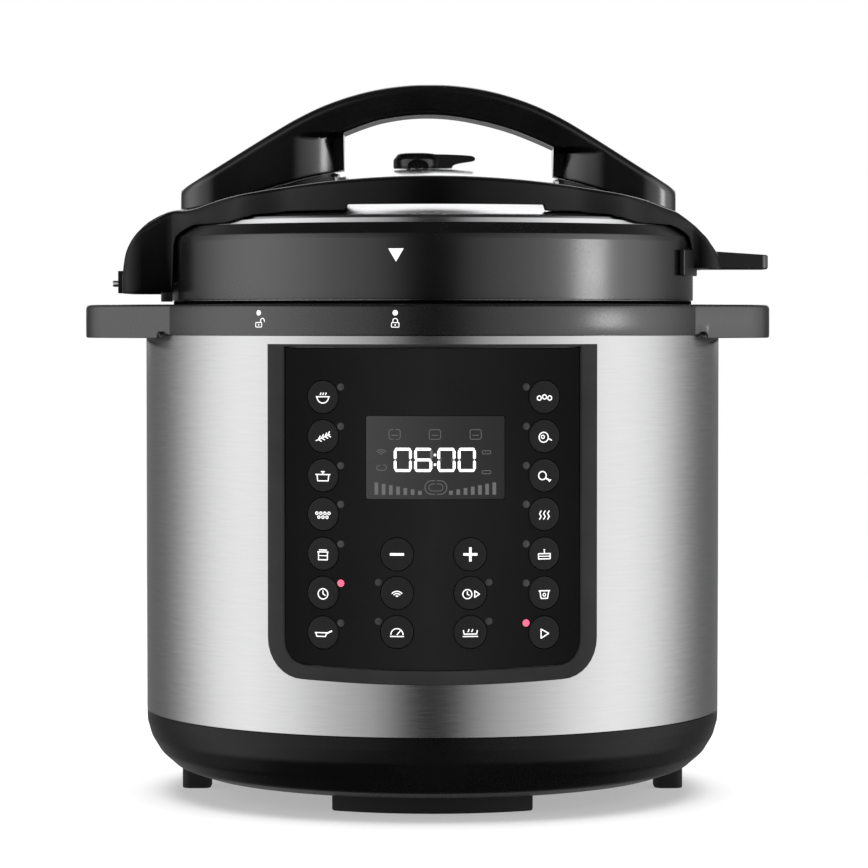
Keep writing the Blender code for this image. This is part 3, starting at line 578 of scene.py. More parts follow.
def resample(outline, step):
    out = []
    for i in range(len(outline)):
        (ax, ay), (bx, by) = outline[i], outline[(i + 1) % len(outline)]
        n = max(1, int(math.hypot(bx - ax, by - ay) / step))
        for k in range(n):
            out.append((ax + (bx - ax) * k / n, ay + (by - ay) * k / n))
    return out


def wrap(s, z, r):
    a = s / R
    return (r * math.sin(a), -r * math.cos(a), z)


def frame_band():
    outer = resample(panel_pts(32.0, 66.5, 221.0, 18.5, 1.6), 4.0)
    # the inner edge follows the outer one: 7.5 mm border at the sides and bottom, 1.1 mm at the top
    s_out, s_in = math.radians(32.0) * R, math.radians(28.3) * R
    loops = []
    inner = []
    for s, z in outer:
        f = s_in / s_out
        zz = 219.9 if z > 220.9 else z + (219.9 - z) * 0.0
        inner.append((s, zz))
    target = resample(panel_pts(28.3, 73.0, 219.9, 11.5, 1.6), 1.0)
    norm = outward([(s, z) for s, z in outer])
    for (s, z), (nx, nz) in zip(outer, norm):
        # the point of the inner outline nearest to the outer point mapped proportionally onto it
        best = min(target, key=lambda q: (q[0] - s * s_in / s_out) ** 2 + (q[1] - (219.9 - (221.0 - z) * (219.9 - 73.0) / (221.0 - 66.5))) ** 2)
        it, iz = best
        dx, dz = it - s, iz - z
        L = math.hypot(dx, dz) or 1.0
        ux, uz = dx / L, dz / L

        def q(d, r):
            return wrap(s + ux * d, z + uz * d, r)

        top = min(1.2, L * 0.3)
        loops.append([q(0, 141.9), q(0, 143.6), q(0.15 * top, 144.1), q(0.5 * top, 144.4), q(top, 144.5), q(max(L - 1.0, L * 0.7), 144.5), q(max(L - 0.35, L * 0.85), 144.38), q(L, 144.1), q(L, 143.0), q(L, 141.9)])
    return loops_bm(loops)


piece("panel_bezel", frame_band(), M["frame"], "base", ["panel_frame"], sharp=50)


def panel_sheet(half, z_top, low_of, r0, r1, cols=140, rows=90, edge=0.5):
    """A bent sheet over columns, with softly rounded rims."""
    s_max = math.radians(half) * R
    ss = [s_max * math.sin(math.pi / 2 * (-1 + 2 * k / cols)) for k in range(cols + 1)]
    bm = bmesh.new()
    front, back = [], []
    for s in ss:
        lo = low_of(s)
        colf, colb = [], []
        for j in range(rows + 1):
            t = 0.5 - 0.5 * math.cos(math.pi * j / rows)
            z = lo + (z_top - lo) * t
            d = min(s_max - abs(s), z - lo, z_top - z)
            drop = 0.3 * (1 - smoothstep(0, edge, d))
            colf.append(bm.verts.new(wrap(s, z, r1 - drop)))
            colb.append(bm.verts.new(wrap(s, z, r0)))
        front.append(colf)
        back.append(colb)
    for i in range(cols):
        for j in range(rows):
            bm.faces.new((front[i][j], front[i + 1][j], front[i + 1][j + 1], front[i][j + 1]))
            bm.faces.new((back[i][j], back[i][j + 1], back[i + 1][j + 1], back[i + 1][j]))
    for i in range(cols):
        bm.faces.new((front[i][0], back[i][0], back[i + 1][0], front[i + 1][0]))
        bm.faces.new((front[i][rows], front[i + 1][rows], back[i + 1][rows], back[i][rows]))
    for j in range(rows):
        bm.faces.new((front[0][j], front[0][j + 1], back[0][j + 1], back[0][j]))
        bm.faces.new((front[cols][j], back[cols][j], back[cols][j + 1], front[cols][j + 1]))
    return bm


def low_edge(s, half=28.1, z0=73.4, corner=11.2, bow=1.6):
    s_max = math.radians(half) * R
    d = s_max - abs(s)
    if d < corner:
        return z0 + corner - math.sqrt(max(0.0, corner ** 2 - (corner - d) ** 2))
    return z0 - bow * math.sin(math.pi / 2 * (d - corner) / (s_max - corner))


overlay = piece("panel_face", panel_sheet(28.1, 219.5, low_edge, 142.3, 144.1), M["panel"], "base", ["panel_overlay"])

COLUMNS = {"left": -50.3, "mid_left": -16.2, "mid_right": 17.4, "right": 51.5}
SIDE_ROWS = (196.8, 178.8, 160.8, 143.0, 124.8, 106.8, 88.5)
MID_ROWS = (125.0, 107.3, 89.4)
KEYS = [(f"key_{s}_{i + 1}", COLUMNS[s], z) for s in ("left", "right") for i, z in enumerate(SIDE_ROWS)]
KEYS += [(f"key_{s}_{i + 1}", COLUMNS[s], z) for s in ("mid_left", "mid_right") for i, z in enumerate(MID_ROWS)]


def radial_disc(x, z, radii, n=48):
    """A closed round body along the panel's radial line: radii is a list of (disc radius, distance from the axis)."""
    a = math.asin(x / R)
    out = Vector((math.sin(a), -math.cos(a), 0))
    side = Vector((math.cos(a), math.sin(a), 0))
    bm = bmesh.new()
    rings = []
    for rad, r in radii:
        if rad < 1e-6:
            rings.append([bm.verts.new(out * r + Vector((0, 0, z)))])
        else:
            rings.append([bm.verts.new(out * r + side * (rad * math.cos(2 * math.pi * k / n)) + Vector((0, 0, z + rad * math.sin(2 * math.pi * k / n)))) for k in range(n)])
    for a_, b_ in zip(rings, rings[1:]):
        for k in range(n):
            j = (k + 1) % n
            if len(a_) == 1:
                bm.faces.new((a_[0], b_[j], b_[k]))
            elif len(b_) == 1:
                bm.faces.new((a_[k], a_[j], b_[0]))
            else:
                bm.faces.new((a_[k], a_[j], b_[j], b_[k]))
    return bm


LCD_X = 1.4
holes = [radial_disc(x, z, [(0, 138), (7.85, 138), (7.85, 150), (0, 150)]) for _, x, z in KEYS]


def bent_block(outline, r0, r1, cx=0.0, cz=0.0, step=1.2):
    """An outline in millimetres on the panel's face, made into a thin bent solid. Convex outlines only."""
    bm = bmesh.new()
    pts = resample(outline, step)
    face = bm.faces.new([bm.verts.new((s + cx, 0, z + cz)) for s, z in pts])
    lo, hi = min(p[0] for p in pts) + cx, max(p[0] for p in pts) + cx
    n = max(1, int((hi - lo) / 4.0))
    for i in range(1, n):
        bmesh.ops.bisect_plane(bm, geom=list(bm.verts) + list(bm.edges) + list(bm.faces), plane_co=(lo + (hi - lo) * i / n, 0, 0), plane_no=(1, 0, 0), dist=1e-5)
    top = bmesh.ops.extrude_face_region(bm, geom=list(bm.faces))
    moved = {v for v in top["geom"] if isinstance(v, bmesh.types.BMVert)}
    for v in bm.verts:
        r = r1 if v in moved else r0
        a = v.co.x / R
        v.co = Vector((r * math.sin(a), -r * math.cos(a), v.co.z))
    return bm


lens_outline = rrect(-32.3, 32.3, -19.25, 19.25, 1.0, 4)
carve(overlay, join_bm(*holes, bent_block(lens_outline, 138, 150, LCD_X, 169.25)))
lens_in = [(s * 0.9925, z * 0.988) for s, z in lens_outline]
piece("display_lens", bent_block(lens_in, 142.8, 144.0, LCD_X, 169.25), M["lcd"], "base", ["lcd_window"])


def stroke(points, width, closed=False):
    """Small quads along a polyline, each run a little past its ends so that the square joins overlap."""
    polys = []
    seq = list(points) + ([points[0]] if closed else [])
    for (ax, ay), (bx, by) in zip(seq, seq[1:]):
        L = math.hypot(bx - ax, by - ay)
        if L < 1e-6:
            continue
        nx, ny = -(by - ay) / L * width / 2, (bx - ax) / L * width / 2
        ex, ey = (bx - ax) / L * width * 0.22, (by - ay) / L * width * 0.22
        polys.append([(ax - nx - ex, ay - ny - ey), (bx - nx + ex, by - ny + ey), (bx + nx + ex, by + ny + ey), (ax + nx - ex, ay + ny - ey)])
    return polys


def arc(cx, cy, r, a0, a1, n=12):
    return [(cx + r * math.cos(math.radians(a0 + (a1 - a0) * k / n)), cy + r * math.sin(math.radians(a0 + (a1 - a0) * k / n))) for k in range(n + 1)]


def sign_mesh(name, polys, mat, body, cx, cz, r, thick=0.06):
    """Printed signs: each polygon is a thin raised pad that follows the panel's curve."""
    bm = bmesh.new()
    for i, poly in enumerate(polys):
        lo, hi = [], []
        for s, z in poly:
            # a hair of height difference keeps crossing strokes from lying in one plane
            lift = 0.004 * (i % 3)
            lo.append(bm.verts.new(wrap(s + cx, z + cz, r)))
            hi.append(bm.verts.new(wrap(s + cx, z + cz, r + thick + lift)))
        bm.faces.new(lo)
        bm.faces.new(list(reversed(hi)))
        for k in range(len(lo)):
            j = (k + 1) % len(lo)
            bm.faces.new((lo[k], hi[k], hi[j], lo[j]))
    return piece(name, bm, mat, body, sharp=30)




def key_sign(name, polys, body, x, z, r0=144.2, r1=144.4):
    """A printed sign on a key's flat face."""
    a = math.asin(x / R)
    out = Vector((math.sin(a), -math.cos(a), 0))
    side = Vector((math.cos(a), math.sin(a), 0))
    bm = bmesh.new()
    for i, poly in enumerate(polys):
        lo, hi = [], []
        for u, w in poly:
            at = side * u + Vector((0, 0, z + w))
            lo.append(bm.verts.new(out * r0 + at))
            hi.append(bm.verts.new(out * (r1 + 0.003 * (i % 4)) + at))
        bm.faces.new(lo)
        bm.faces.new(list(reversed(hi)))
        for k in range(len(lo)):
            j = (k + 1) % len(lo)
            bm.faces.new((lo[k], hi[k], hi[j], lo[j]))
    return piece(name, bm, M["white"], body, sharp=30)


W = 0.5
ICONS = {
    "key_left_1": stroke(arc(0, 0.6, 2.9, 180, 360), W) + stroke([(-3.3, 0.6), (3.3, 0.6)], W) + stroke([(-1.3, 1.5), (-0.9, 2.4)], W) + stroke([(0, 1.5), (0.4, 2.4)], W) + stroke([(1.3, 1.5), (1.7, 2.4)], W),
    "key_left_2": stroke([(-3.4, -1.6), (3.4, 1.4)], W) + sum([stroke([(x, x * 0.44 - 0.1), (x + 0.9, x * 0.44 + 1.6)], W) + stroke([(x, x * 0.44 - 0.1), (x + 1.5, x * 0.44 - 0.9)], W) for x in (-2.2, -0.6, 1.0, 2.4)], []),
    "key_left_3": stroke([(-2.9, 0.9), (-2.6, -2.0), (2.6, -2.0), (2.9, 0.9)], W) + stroke([(-3.6, 0.9), (3.6, 0.9)], W) + stroke([(-0.8, 2.2), (0.8, 2.2)], W) + stroke([(0, 0.9), (0, 2.2)], W),
    "key_left_4": sum([stroke(arc(x, z, 0.62, 0, 360, 8), 0.42) for x, z in ((-3, 0.9), (-1, 0.9), (1, 0.9), (3, 0.9), (-2, -0.9), (0, -0.9), (2, -0.9))], []),
    "key_left_5": stroke([(-2.2, 1.2), (-2.2, -2.3), (2.2, -2.3), (2.2, 1.2)], W) + stroke([(-2.6, 1.3), (2.6, 1.3)], W) + stroke([(-1.9, 2.2), (1.9, 2.2)], W) + stroke([(-2.2, -0.4), (2.2, -0.4)], 0.4),
    "key_left_6": stroke(arc(0, 0, 2.4, 0, 360, 20), W) + stroke([(0, 1.5), (0, 0), (1.2, -0.7)], W),
    "key_left_7": stroke([(-3.6, 0.3), (-3.0, -1.3), (1.2, -1.3), (1.8, 0.3)], W) + stroke([(-3.9, 0.4), (2.2, 0.4)], W) + stroke([(2.0, 0.2), (4.3, 1.3)], 0.7),
    "key_right_1": sum([stroke(arc(x, z, 1.0, 20, 380, 10), W) for x, z in ((-2.6, 0), (0, 0.5), (2.6, 0))], []),
    "key_right_2": stroke(arc(-0.4, 0, 2.3, 0, 360, 16), W) + stroke(arc(-0.8, 0.2, 0.8, 0, 360, 8), 0.42) + stroke([(1.9, -0.6), (3.6, -1.4)], W),
    "key_right_3": stroke(arc(-1.0, 0.4, 1.9, 0, 360, 14), W) + stroke([(0.6, -0.7), (2.6, -1.9)], 0.7) + stroke([(2.3, -2.4), (3.2, -1.5)], W),
    "key_right_4": sum([stroke([(x, -1.9), (x + 0.8, -0.6), (x, 0.7), (x + 0.8, 2.0)], W) for x in (-2.4, -0.4, 1.6)], []),
    "key_right_5": stroke([(-2.9, -1.9), (2.9, -1.9), (2.9, 0.5), (-2.9, 0.5)], W, True) + stroke([(-2.9, -0.7), (2.9, -0.7)], 0.4) + stroke([(0, 0.5), (0, 1.7)], W) + stroke([(-0.3, 2.3), (0.3, 2.3)], W),
    "key_right_6": stroke([(-2.2, 1.3), (-1.6, -2.1), (1.6, -2.1), (2.2, 1.3)], W) + stroke([(-2.7, 1.4), (2.7, 1.4)], W) + stroke(arc(0, -0.4, 0.7, 0, 360, 8), 0.4),
    "key_right_7": stroke([(-1.6, -2.1), (-1.6, 2.1), (2.2, 0.0)], W, True),
    "key_mid_left_1": stroke([(-3.0, 0), (3.0, 0)], 1.15),
    "key_mid_left_2": stroke(arc(0, -1.4, 0.6, 35, 145, 4), W) + stroke(arc(0, -1.6, 1.9, 40, 140, 8), W) + stroke(arc(0, -1.8, 3.1, 42, 138, 10), W),
    "key_mid_left_3": stroke(arc(0, -0.7, 2.8, 0, 180, 14), W) + stroke([(0, -0.7), (1.5, 1.0)], W) + stroke([(-3.1, -1.5), (3.1, -1.5)], W),
    "key_mid_right_1": stroke([(-3.0, 0), (3.0, 0)], 1.15) + stroke([(0, -3.0), (0, 3.0)], 1.15),
    "key_mid_right_2": stroke(arc(-1.4, 0, 2.1, 0, 360, 16), W) + stroke([(-1.4, 1.2), (-1.4, 0), (-0.5, -0.5)], W) + stroke([(2.0, 1.5), (2.0, -1.5), (4.2, 0)], W, True),
    "key_mid_right_3": stroke([(-3.2, 1.3), (-2.9, -0.4), (2.9, -0.4), (3.2, 1.3)], W) + stroke([(-3.4, -1.5), (3.4, -1.5)], W) + stroke([(-1.1, 0.6), (-0.6, 1.7)], W) + stroke([(0.6, 0.6), (1.1, 1.7)], W),
}
for name, x, z in KEYS:
    piece(name + "_cap", radial_disc(x, z, [(0, 142.6), (7.5, 142.6), (7.5, 143.95), (7.4, 144.17), (7.1, 144.3), (6.6, 144.34), (5.5, 144.34), (0, 144.34)], 56), M["key"], name, [name])
    key_sign(name + "_sign", ICONS[name], name, x, z - (0.0 if "mid" in name and name.endswith("_1") else 0.5))

# indicator lights
leds = [(-42.1, z + 4.6, "left", i) for i, z in enumerate(SIDE_ROWS)] + [(43.1, z + 4.6, "right", i) for i, z in enumerate(SIDE_ROWS)]
leds += [(-24.7, z + 4.8, "mid_left", i) for i, z in enumerate(MID_ROWS) if i] + [(25.9, z + 4.8, "mid_right", i) for i, z in enumerate(MID_ROWS) if i]
for x, z, side, i in leds:
    lit = (side == "left" and i == 5) or (side == "right" and i == 6)
    radii = [(0, 143.9), (1.65, 143.9), (1.65, 144.14), (1.4, 144.2), (0, 144.24)]
    piece(f"led_{side}_{i + 1}", radial_disc(x, z, radii, 24), M["led_on"] if lit else M["led_off"], "base")

# ------------------------------------------------------------------ display signs


def seven(cx, cz, w, hgt, lit, t=1.25, slant=0.0):
    """Lit and unlit segments of one digit, each a six-sided bar."""
    g = 0.22
    hw, hh = w / 2, hgt / 2

    def hbar(z):
        return [(cx - hw + g, z), (cx - hw + g + t / 2, z + t / 2), (cx + hw - g - t / 2, z + t / 2), (cx + hw - g, z), (cx + hw - g - t / 2, z - t / 2), (cx - hw + g + t / 2, z - t / 2)]

    def vbar(x, z0, z1):
        return [(x, z0 + g), (x + t / 2, z0 + g + t / 2), (x + t / 2, z1 - g - t / 2), (x, z1 - g), (x - t / 2, z1 - g - t / 2), (x - t / 2, z0 + g + t / 2)]

    top, mid, bot = cz + hh - t / 2, cz, cz - hh + t / 2
    xl, xr = cx - hw + t / 2 - 0.2, cx + hw - t / 2 + 0.2
    bars = {"a": hbar(top), "g": hbar(mid), "d": hbar(bot), "f": vbar(xl, mid, top), "b": vbar(xr, mid, top), "e": vbar(xl, bot, mid), "c": vbar(xr, bot, mid)}
    return [v for k, v in bars.items() if k in lit], [v for k, v in bars.items() if k not in lit]


SEGMENTS = {"0": "abcdef", "6": "acdefg"}
on, off = [], []
for ch, px in (("0", 403.0), ("6", 423.5), ("0", 446.8), ("0", 467.3)):
    cx = (px - 435.3) * 0.4573
    a, b = seven(cx, -1.0, 7.9, 11.0, SEGMENTS[ch])
    on += a
    off += b
for zc in (1.25, -3.2):
    on.append([(0.75 * math.cos(math.radians(45 + 90 * k)), zc + 0.75 * math.sin(math.radians(45 + 90 * k))) for k in range(4)])
sign_mesh("display_digits", on, M["digit"], "base", LCD_X - 0.2, 169.25, 143.98)
px0 = lambda x: (x - 435.5) * 0.4573
ghosts = list(off)
for x in (394.5, 435, 476):
    c = px0(x)
    ghosts += stroke(rrect(c - 2.6, c + 2.6, 8.4, 12.8, 0.8, 2), 0.3, True) + stroke([(c - 1.4, 10.2), (c + 1.4, 10.2)], 0.3)
c = px0(381)
ghosts += stroke(arc(c, 1.0, 0.8, 40, 140, 4), 0.3) + stroke(arc(c, 0.8, 1.9, 40, 140, 6), 0.3) + stroke(arc(c, 0.6, 3.0, 42, 138, 8), 0.3)
ghosts += stroke(arc(c - 1.1, -4.7, 1.1, 60, 270, 6) + [(c + 1.4, -5.8)] + arc(c + 1.3, -4.6, 1.2, -90, 110, 6), 0.3)
for zz in (2.4, -6.7):
    ghosts += stroke(rrect(px0(487) - 2.0, px0(487) + 2.0, zz - 0.7, zz + 0.7, 0.4, 2), 0.3, True)
for k in range(7):
    hgt = 5.6 - 0.62 * k
    for sgn, edge in ((1, 376.0), (-1, 495.0)):
        x0 = px0(edge) + sgn * k * 3.35
        ghosts.append([(x0 - 0.85, -17.0), (x0 + 0.85, -17.0), (x0 + 0.85, -17.0 + hgt), (x0 - 0.85, -17.0 + hgt)])
ghosts += stroke([(p[0] + px0(436), p[1] - 13.6) for p in rrect(-5.0, 5.0, -3.1, 3.1, 3.0, 5)], 0.35, True) + stroke([(p[0] + px0(436), p[1] - 13.6) for p in rrect(-3.2, 3.2, -1.6, 1.6, 1.5, 4)], 0.3, True)
sign_mesh("display_ghosts", ghosts, M["ghost"], "base", LCD_X, 169.25, 143.98, thick=0.03)

# ------------------------------------------------------------------ lid


def dome_z(r):
    return 306.5 - r * r / 520.0


top_pts = [(0.0, 306.5)] + [(r, dome_z(r)) for r in range(6, 112, 7)] + [(111.5, dome_z(111.5))]
under_pts = [(r, dome_z(r) - 1.5) for r in range(109, 3, -7)] + [(0.0, 305.0)]
dome = piece("steel_lid_dome", lathe_bm(
    top_pts + [(114.2, 281.45, 0.8), (117.2, 281.0, 0.8), (118, 279.6, 0.8), (118, 275.2, 1), (126.7, 261.5, 3), (127, 258), (127, 224.5), (125.5, 224.5), (125.5, 257.5), (125.1, 261), (116.5, 274.6), (116.5, 278.6, 0.8), (113.2, 280.2, 0.8)] + under_pts, 200),
    M["dome"], "lid", ["lid_dome"])
carve(dome, join_bm(*[arc_block(119.6, 126.2, 226, 229, 60 * i, 12) for i in range(6)]), "UNION")
carve(dome, join_bm(prism(circle(5.5, -7.7, 0), 296, 312), prism(circle(4.1, 26, 16), 296, 312)))
piece("lid_skirt_ring", lathe_bm([(127.6, 241.5), (128.8, 241.5, 0.4), (128.8, 269.8, 1.5), (127.9, 272.4, 1.5), (122.6, 277.5, 1.2), (118.7, 277.2, 0.6), (118.7, 275.9), (127.4, 262.2), (127.4, 241.8)], 224), M["ring"], "lid", ["lid_ring"])
# the lip's near-black matte finish is a painted shadow, standing in for the shade in the gap under the lid ring
piece("ring_lip", lathe_bm([(127.45, 236.5), (128.0, 236.5), (128.0, 241.3), (127.45, 241.3)], 160), M["gap"], "lid")
lower = piece("lid_lower_plate", lathe_bm([(0, 262), (60, 258, 20), (100, 249, 10), (109, 247), (124.6, 247, 1), (124.6, 243), (123.4, 243), (123.4, 245.8), (108.5, 245.8), (99.6, 247.8, 10), (59.7, 256.8, 20), (0, 260.8)], 160), M["inner"], "lid", ["inner_lid"])
carve(lower, join_bm(prism(circle(5.5, -7.7, 0), 250, 270), prism(circle(4.1, 26, 16), 250, 270)))
piece("seal_lip", lathe_bm([(110.6, 233.5, 0.5), (113, 231.6, 0.5), (115.6, 231.6, 0.8), (116.4, 236.2, 0.8), (122.6, 237.5, 0.8), (122.6, 245.4, 1), (110.0, 245.4, 1), (110.0, 236)], 160), M["silicone"], "lid_seal", ["sealing_ring"])
piece("seal_wire_rack", lathe_bm([(105.4, 238, 0.4), (109.4, 238, 0.5), (109.4, 239.4, 0.5), (106.8, 239.4, 0.4), (106.8, 244.6, 0.3), (105.4, 244.6, 0.3)], 160), M["pin"], "lid", ["seal_rack"])
piece("exhaust_tube", lathe_bm([(2, 254), (9, 254), (9, 257), (5, 257), (5, 309.5, 0.5), (2, 309.5, 0.5)], 48, (-7.7, 0)), M["pin"], "lid", ["exhaust_pipe"])
shield = piece("vent_shield", lathe_bm([(0, 243), (10.5, 243, 1.2), (10.5, 253.6), (9.3, 253.6), (9.3, 244.2, 0.6), (0, 244.2)], 64, (-7.7, 0)), M["pin"], "lid", ["anti_block_shield"])
carve(shield, join_bm(*[prism(circle(0.9, -7.7 + r * math.cos(a), r * math.sin(a), 10), 240, 247) for r, n in ((3.2, 6), (6.6, 12)) for a in [2 * math.pi * k / n for k in range(n)]]))
piece("float_pin", lathe_bm([(0, 251.5), (6, 251.5, 0.5), (6, 253.5, 0.3), (3.6, 253.5), (3.6, 304.6, 0.6), (0, 305.0)], 32, (26, 16)), M["pin"], "float", ["float_valve"])
piece("float_gasket", lathe_bm([(3.9, 253.8, 0.3), (6, 253.8, 0.4), (6, 255.2, 0.4), (3.9, 255.2, 0.3)], 32, (26, 16)), M["silicone"], "float", ["float_seal"])

# steam release cap with its arched mouth, and the lever
valve = piece("steam_valve", lathe_bm([(5.4, 306.85), (11.4, 306.85, 0.3), (11.7, 308.0, 0.6), (11.7, 311.2, 1.6), (9.6, 314.0, 1.8), (7.8, 314.5, 0.8), (7.2, 314.25, 0.5), (0, 314.25), (0, 310.4), (5.4, 310.4)], 96, (-7.7, 0)), M["valve"], "valve", ["steam_release_cap"])
mouth = [(x, z) for x, z in [(-12.2, 306.5), (-2.0, 306.5)] + [(-7.1 + 5.1 * math.cos(math.radians(a)), 308.3 + 2.6 * math.sin(math.radians(a))) for a in range(0, 181, 20)]]
carve(valve, prism(mouth, -14, -8.4, "y"))
lever = [(-2.0, 306.95), (9.4, 306.95), (9.8, 307.5), (9.9, 308.3), (11.2, 309.0), (13.6, 309.6), (17.1, 310.1), (20.4, 310.6), (21.3, 311.7), (20.6, 312.7), (18.6, 313.3), (8, 313.8), (-2.0, 313.9)]
lever_w = prism(chaikin(lever, 1), -4.4, 4.4, "y")
for v in lever_w.verts:
    t = smoothstep(2, 21.5, v.co.x)
    v.co.y *= 1.0 - 0.35 * t
carve(valve, lever_w, "UNION")
bevel(valve, 0.35, 3, 45)

# ------------------------------------------------------------------ lid cover
EAR_L = ((123, 287.0), (129, 285.6), (134.4, 283.2), (138.3, 280.8), (141.2, 278.4), (143.7, 275.9), (145.6, 273.5), (147.1, 271.0), (148.5, 268.6), (150.5, 263.7), (151.7, 256.4))
EAR_R = ((112, 287.4), (118.5, 285.7), (122.3, 283.2), (125.7, 280.8), (128.7, 278.4), (131.0, 275.9), (133.5, 273.5), (135.0, 271.0), (137.6, 267.3), (139.6, 264.4), (141, 261.8))
COVER_R, EAR_HALF = 112.0, 34.0


def along(table, x):
    if x <= table[0][0]:
        return table[0][1]
    for (xa, za), (xb, zb) in zip(table, table[1:]):
        if x <= xb:
            u = (x - xa) / (xb - xa)
            return za + (zb - za) * u
    return table[-1][1]


def soft_max(a, b, k):
    hmix = max(0.0, min(1.0, 0.5 + 0.5 * (a - b) / k))
    return b * (1 - hmix) + a * hmix + k * hmix * (1 - hmix)


def arch_z(x, y):
    arch = 299.3 - x * x / 1080.0
    table = EAR_L if x < 0 else EAR_R
    w = smoothstep(table[0][0] - 8, table[0][0] + 4, abs(x))
    return arch * (1 - w) + along(table, abs(x)) * w - 0.0012 * y * y * smoothstep(100, 130, abs(x))


def cover_top(x, y):
    r = math.hypot(x, y)
    a = arch_z(x, y)
    if r > 113.5:
        return a
    return soft_max(a, dome_z(r) + 2.6, 3.0)


def cover_plan():
    """Counter-clockwise plan points with the height of the wall's lower edge at each."""
    low, relief = 283.3, 286.0

    def ear(x_end, bottom):
        pts = [(100.9, 66.6, 278.0), (102.7, 63.8, 278.0), (105.2, 59.9, 278.0), (107.8, 56.2, 278.0), (110.4, 52.6, 278.0), (113, 48.9, 277.9), (115.5, 45.4, 277.8), (118, 42.1, 277.0), (120.5, 39.2, 275.8), (123, 36.8, 274.1), (124.8, 35.4, 272.4), (126.0, 34.6, 268.0), (126.7, 34.2, bottom + 3), (127.3, EAR_HALF, bottom)]
        pts += [(x, EAR_HALF, bottom) for x in (130, x_end - 10.5)]
        pts += [(x_end - 9.5 + 9.5 * math.sin(math.radians(a)), EAR_HALF - 9.5 + 9.5 * math.cos(math.radians(a)), bottom) for a in range(8, 91, 8)]
        pts += [(x_end, y, bottom) for y in (20, 14, 8, 2)]
        return pts

    right, left = ear(141.0, 257.4), ear(151.7, 244.9)
    flare = []
    for a, z in ((34.2, 278.1), (35.5, 278.4), (37.0, 278.8), (38.5, 279.4), (40.0, 280.2), (42.0, 281.0), (44.0, 281.7), (46.0, 282.1), (48.0, 282.4), (50.0, 282.7)):
        r = COVER_R + 8.9 * (1 - smoothstep(39.0, 52.0, a))
        flare.append((r * math.cos(math.radians(a)), r * math.sin(math.radians(a)), z))
    arc_pts = []
    n = 60
    for i in range(n + 1):
        a = math.radians(52 + 76 * i / n)
        x, y = COVER_R * math.cos(a), COVER_R * math.sin(a)
        up = smoothstep(-40.9, -39.9, x) * (1 - smoothstep(52.4, 53.4, x))
        arc_pts.append((x, y, low + (relief - low) * up))
    extra = []
    for x in (-40.9, -39.9, 52.4, 53.4):
        extra.append((x, math.sqrt(COVER_R ** 2 - x * x), low if x in (-40.9, 53.4) else relief))
    arc_pts = flare + sorted(arc_pts + extra, key=lambda p: -p[0]) + [(-x, y, z) for x, y, z in reversed(flare)]
    pts = [(x, y, z) for x, y, z in reversed(right)] + arc_pts + [(-x, y, z) for x, y, z in left]
    pts += [(-x, -y, z) for x, y, z in reversed(left)] + [(x, -y, z) for x, y, z in reversed(arc_pts)] + [(x, -y, z) for x, y, z in right]
    return pts


def cover_bm():
    plan = cover_plan()
    norms = outward([(p[0], p[1]) for p in plan])
    cx, hx, hy, power = 7.0, 53.0, 95.0, 7.0
    loops = []
    ts = (0.0, 0.012, 0.03, 0.1, 0.2, 0.3, 0.4, 0.5, 0.6, 0.68, 0.75, 0.8, 0.85, 0.9, 0.94, 0.97)
    for (x, y, low), (nx, ny) in zip(plan, norms):
        a = math.atan2(y, x - cx)
        q = 1.0 / ((abs(math.cos(a)) / hx) ** power + (abs(math.sin(a)) / hy) ** power) ** (1 / power)
        qx, qy = cx + q * math.cos(a), q * math.sin(a)

        def ins(d):
            return x - nx * d, y - ny * d

        ix, iy = ins(3.4)
        top, under = [], []
        for t in ts:
            mx, my = qx + (ix - qx) * t, qy + (iy - qy) * t
            z = cover_top(mx, my)
            edge = 0.9 * (1 - smoothstep(0.0, 0.03, t))
            top.append((mx, my, z - edge))
            under.append((mx, my, z - 2.2))
        zi = cover_top(ix, iy)
        zo = min(zi, cover_top(x, y))
        b1, b2, b3 = ins(1.9), ins(0.85), ins(0.2)
        wall = ins(1.8)
        k = min(1.0, (zo - low) / 6.0)
        zw = zo - 3.4 * k
        loop = top + [(ix, iy, zi), (*b1, zi + (zo - zi) * 0.3 - 0.25 * k), (*b2, zi + (zo - zi) * 0.6 - 0.85 * k), (*b3, zo - 1.9 * k), (x, y, zw)]
        loop += [(x, y, (zw + low + 0.5) / 2), (x, y, low + 0.5), (*ins(0.25), low + 0.1), (*ins(0.6), low), (*ins(1.5), low), (*wall, low + 0.3), (*wall, max(zo - 3.6, low + 0.6)), (*ins(2.6), max(zi - 2.6, low + 0.8))]
        loop += list(reversed(under))
        loops.append(loop)
    return loops_bm(loops)


cover = piece("lid_saddle_cover", cover_bm(), M["cover"], "lid", ["lid_cover"], sharp=42)
carve(cover, prism(circle(2.1, 0, 250.0, 24), -160, -140, "x"), own=True)
carve(cover, prism(rrect(134.9, 150, 250, 266.9, 0.3, 2), -15.6, 15.6, "y"), own=True)

# ------------------------------------------------------------------ arch handle, lofted along x


def lerp_table(table, x):
    if x <= table[0][0]:
        return table[0][1]
    for (xa, za), (xb, zb) in zip(table, table[1:]):
        if x <= xb:
            return za + (zb - za) * (x - xa) / (xb - xa)
    return table[-1][1]


def catmull(table, x):
    """Smooth curve through a table of (x, z)."""
    if x <= table[0][0]:
        return table[0][1]
    if x >= table[-1][0]:
        return table[-1][1]
    for i in range(len(table) - 1):
        x0, z0 = table[i]
        x1, z1 = table[i + 1]
        if x <= x1:
            m0 = (z1 - table[i - 1][1]) / (x1 - table[i - 1][0]) if i else (z1 - z0) / (x1 - x0)
            m1 = (table[i + 2][1] - z0) / (table[i + 2][0] - x0) if i + 2 < len(table) else (z1 - z0) / (x1 - x0)
            t = (x - x0) / (x1 - x0)
            hgt = x1 - x0
            return (2 * t ** 3 - 3 * t ** 2 + 1) * z0 + (t ** 3 - 2 * t ** 2 + t) * hgt * m0 + (-2 * t ** 3 + 3 * t ** 2) * z1 + (t ** 3 - t ** 2) * hgt * m1
    return table[-1][1]


